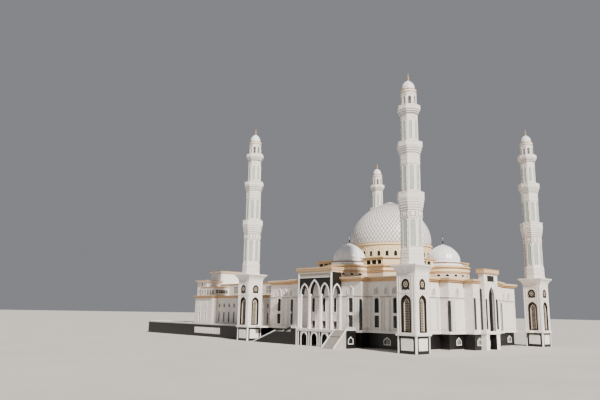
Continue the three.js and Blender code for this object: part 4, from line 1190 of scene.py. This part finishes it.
# %% Gateways
GATE_REACH = 3770
GATES = [quarter(side) @ at(0, -GATE_REACH) for side in (1, 2)]
PORTALS = [quarter(side) @ at(0, -PORTAL_REACH) for side in (1, 2)]
gate = bmesh.new()
plate(gate, [*ogee_points(424, LEDGE, 1480, 1976), *reversed(arch_points(352, LEDGE, 1480, 1850))], -14, 4)
for x in (-372, 372):
    block(gate, (x - 12, x + 12), (-12, 6), (LEDGE, 2214), 3)
block(gate, (-384, 384), (-10, 6), (2196, 2214), 2)
block(gate, (-400, 400), (-22, 6), (LEDGE, 540), 4)
for hand in (-1, 1):
    block(gate, sorted((hand * 213, hand * 389)), (-6, 4), (2, 447), 2)
    block(gate, sorted((hand * 383, hand * 391)), (-6, 168), (2, 447), 2)
stamped_piece("gateway_mouldings", gate, GATES, carved_marble)
panel = bmesh.new()
block(panel, (-190, 190), (-7, 4), (1990, 2166), 3)
for x in (-305, 305):
    block(panel, (x - 55, x + 55), (-4, 4), (593, 1478), 2)
stamped_piece("gateway_granite_panels", panel, GATES, polished_granite)
lattice = bmesh.new()
bars(lattice, (-180, 180), (1998, 2158), 7, 4, 4, -12, -5)
stamped_piece("gateway_lattices", lattice, GATES, umber_and_shade_board)
screen = bmesh.new()
bars(screen, (-190, 190), (LEDGE, 1870), 5, 12, 12, 64, 76)
stamped_piece("gateway_screens", screen, GATES, bronze_frame)
pane = bmesh.new()
plate(pane, arch_points(378, 506, 1480, 1862), 77, 83)
shape = bmesh.new()
stamp(shape, pane, GATES)
groove_pane = bmesh.new()
for x in (-378, 378):
    block(groove_pane, (x - 3, x + 3), (76, 160), (575, 1782), 1)
stamp(shape, groove_pane, GATES)
slit = bmesh.new()
block(slit, (-62, 62), (-3, 6), (575, 1490), 1)
stamp(shape, slit, [portal @ at(x) for portal in PORTALS for x in (-650, 650)])
finish_piece("gateway_panes", shape, dark_glass)
gate_plan = box_plan((-385, 385), (0, 170))
crown = bmesh.new()
moulding(crown, gate_plan, bead_section(-3, 12, 20, 2206, 2222))
moulding(crown, gate_plan, bead_section(41, 51, 55, 2226, 2246))
moulding(crown, gate_plan, [(41, 2332), (51, 2332), (58, 2342), (51, 2354), (41, 2354)])
shape = bmesh.new()
stamp(shape, crown, GATES)
portal_plan = box_plan((-720, 720), (0, 300))
for out, z in [(0, 1920), (40, 1954), (75, 1999)]:
    ring = bmesh.new()
    moulding(ring, portal_plan, bead_section(out - 4, out + 8, out + 14, z - 14, z))
    stamp(shape, ring, PORTALS)
finish_piece("gateway_gold_mouldings", shape, gold_paint)
shape = bmesh.new()
rings = bmesh.new()
moulding(rings, gate_plan, band_section(41, 49, 2247, 2331))
stamp(shape, rings, GATES)
rings = bmesh.new()
for out, low, high in [(0, 1900, 1942), (40, 1942, 1986), (75, 1986, 2032)]:
    moulding(rings, portal_plan, band_section(out - 6, out + 4, low, high))
stamp(shape, rings, PORTALS)
finish_piece("gateway_cornice_bands", shape, ochre_stucco)

# %% [markdown]
# ## Wing
# The lower wing has close rows of narrow windows, gold cornices, a set-back upper storey and a stair
# tower, and stands on a terrace. Its windows get white frames, panes and bars, and their rows are the same
# on both long sides.

# %% Wing windows
WING_X = [-6390, -6060, -5730, -5400, -5070, -4740, -4410, -4080, -3700, -3350]
wing_faces = [(x, 2800) for x in WING_X] + [(-7430, 3050), (-6990, 3050)]
wing_places = [side @ at(x, -y) for x, y in wing_faces for side in FRONT_AND_BACK]
white = bmesh.new()
bronze = bmesh.new()
for low, high in [(570, 965), (1125, 1285)]:
    frame_of(white, arch_points, (92, low, high - 54, high + 1), 12, -10, 6)
    bars(bronze, (-50, 50), (low - 3, high + 3), 2, 3, 6, 14, 22)
for x in (-84, 84):
    block(white, (x - 7, x + 7), (-8, 4), (515, 1470), 2)
block(white, (-91, 91), (-8, 4), (1030, 1048), 2)
stamped_piece("wing_window_frames", white, wing_places, carved_marble)
stamped_piece("wing_window_bars", bronze, wing_places, bronze_frame)
pane = bmesh.new()
for low, high in [(565, 970), (1120, 1290)]:
    block(pane, (-52, 52), (24, 29), (low, high), 1)
stamped_piece("wing_window_panes", pane, wing_places, dark_glass)

# %% Wing cornices, upper storey and tower
UPPER_PLACES = [side @ at(x, -2100) for x in (-6290, -5590, -4890, -4190) for side in FRONT_AND_BACK]
BLOCK_PLACES = [side @ at(x, -2800) for x in (-7660, -7470, -7280, -7090, -6900) for side in FRONT_AND_BACK]


def square_points(width, low, _, high):
    """The outline of a square opening, which has no spring"""
    return [(width / 2, low), (width / 2, high), (-width / 2, high), (-width / 2, low)]


white = bmesh.new()
panes = bmesh.new()
for places, half, low, high, columns in [(UPPER_PLACES, 150, 1680, 1960, 4),
                                         (BLOCK_PLACES, 65, 1640, 1815, 2)]:
    window = bmesh.new()
    frame_of(window, square_points, (half * 2 + 2, low - 1, high, high + 1), 12, -7, 6)
    bars(window, (-half - 3, half + 3), (low - 3, high + 3), columns, 2, 8, -4, 3)
    stamp(white, window, places)
    pane = bmesh.new()
    block(pane, (-half - 4, half + 4), (3, 8), (low - 4, high + 4), 1)
    stamp(panes, pane, places)
side_window = quarter(1) @ at(-2450, 6780)
pane = bmesh.new()
block(pane, (-290, 290), (-3, 3), (1690, 1820), 1)
stamp(panes, pane, [side_window])
window = bmesh.new()
bars(window, (-290, 290), (1690, 1820), 5, 2, 9, -8, 0)
stamp(white, window, [side_window])
pane = bmesh.new()
block(pane, (-30, 30), (-3, 3), (2010, 2110), 1)
stamp(panes, pane, [at(-7790, -2750)])
finish_piece("wing_upper_frames", white, carved_marble)
finish_piece("wing_upper_panes", panes, dark_glass)

# The wing's deeper end block and its long body each get closed beads of their own.
shape = bmesh.new()
for plan in [box_plan((-7780, -6530), (-3050, 3050)), box_plan((-7600, -3040), (-2800, 2800))]:
    for out, z in [(0, 1494), (35, 1532), (60, 1568)]:
        moulding(shape, plan, bead_section(out - 4, out + 6, out + 11, z - 12, z))
for x, y, z in [((-7430, -3000), (-2100, 2100), 2062), ((-7780, -6780), (-2800, 2800), 1932)]:
    moulding(shape, box_plan(x, y), [(-4, z - 20), (14, z - 20), (22, z), (22, z + 20), (-4, z + 20)])
for y, z in [((-2750, -2090), 2225), ((-2090, -700), 2645)]:
    plan = box_plan((-8150, -7430), y)
    moulding(shape, plan, bead_section(86, 94, 98, z - 26, z - 2))
    moulding(shape, plan, bead_section(-4, 10, 14, z - 108, z - 92))
finish_piece("wing_cornice_beads", shape, gold_paint)

# %% [markdown]
# ## Terrace and stairs
# The wing's terrace is edged with a flat white coping. The outside stairs have white stringers beside the
# flights, small balusters under a rail on their landings, and granite on their side walls.

# %% Terrace coping and panel
def balustrade(shape, start, end, height=78, spacing=42):
    """A row of small balusters between a foot and a rail, along any level line"""
    length = (Vector(end) - Vector(start)).length
    run = bmesh.new()
    block(run, (0, length), (-9, 9), (0, 12), 2)
    block(run, (0, length), (-12, 12), (height - 14, height), 3)
    count = max(2, round(length / spacing))
    for i in range(count):
        x = (i + 0.5) * length / count
        block(run, (x - 5, x + 5), (-5, 5), (10, height - 12), 1.2)
    for x in (9, length - 9):
        block(run, (x - 9, x + 9), (-13, 13), (0, height + 8), 2)
    along = (Vector(end) - Vector(start)).normalized()
    turn = Matrix.Rotation(-Vector((1, 0)).angle_signed(along.xy), 4, "Z")
    stamp(shape, run, [Matrix.Translation(start) @ turn])


shape = bmesh.new()
for plan in [box_plan((-8180, -3900), (-3330, 3330)), box_plan((-11230, -8100), (-3330, -2070))]:
    moulding(shape, plan, [(-60, 486), (-60, 506), (-4, 506), (0, 496), (-2, 470), (-6, 470), (-6, 486)])
finish_piece("terrace_coping", shape, carved_marble)
shape = bmesh.new()
block(shape, (-7330, -5560), (-3312, -3296), (122, 350), 4)
FIELD = 219
for x in range(-7322, -5570, FIELD):
    block(shape, (x + 12, x + FIELD - 12), (-3318, -3308), (140, 330), 3)
finish_piece("terrace_marble_panel", shape, honed_marble)

# %% Stair walls and stringers
shape = bmesh.new()
block(shape, (-980, -752), (-3782, -3768), (4, 500), 2)
block(shape, (-1750, -980), (-3782, -3768), (4, 388), 2)
plate(shape, [(-1750, 4), (-1750, 388), (-2850, 4)], -3782, -3768)
plate(shape, [(-980, 480), (-980, 560), (-1300, 440), (-1300, 380)], -3785, -3766)
block(shape, (1326, 1342), (-3728, -3322), (4, 500), 2)
finish_piece("stair_granite_walls", shape, polished_granite)

shape = bmesh.new()
lower_edge = [(-1742, 388), (-1742, 424), (-2866, 34), (-2866, 0)]
upper_edge = [(-972, LEDGE), (-972, 560), (-1300, 440), (-1742, 440), (-1742, 385), (-1300, 385)]
for front in (-3788, -3408):
    plate(shape, lower_edge, front, front + 18)
plate(shape, upper_edge, -3408, -3390)
flight = [(3722, 500), (3722, 540), (4246, 36), (4246, 2), (4238, 2)]
right = bmesh.new()
for front in (852, 1322):
    plate(right, flight, front, front + 18)
stamp(shape, right, [quarter(3)])
finish_piece("stair_stringers", shape, carved_marble)
shape = bmesh.new()
balustrade(shape, (-972, -3762, LEDGE), (-752, -3762, LEDGE))
balustrade(shape, (1318, -3722, LEDGE), (1318, -3322, LEDGE))
finish_piece("stair_landing_parapets", shape, carved_marble)
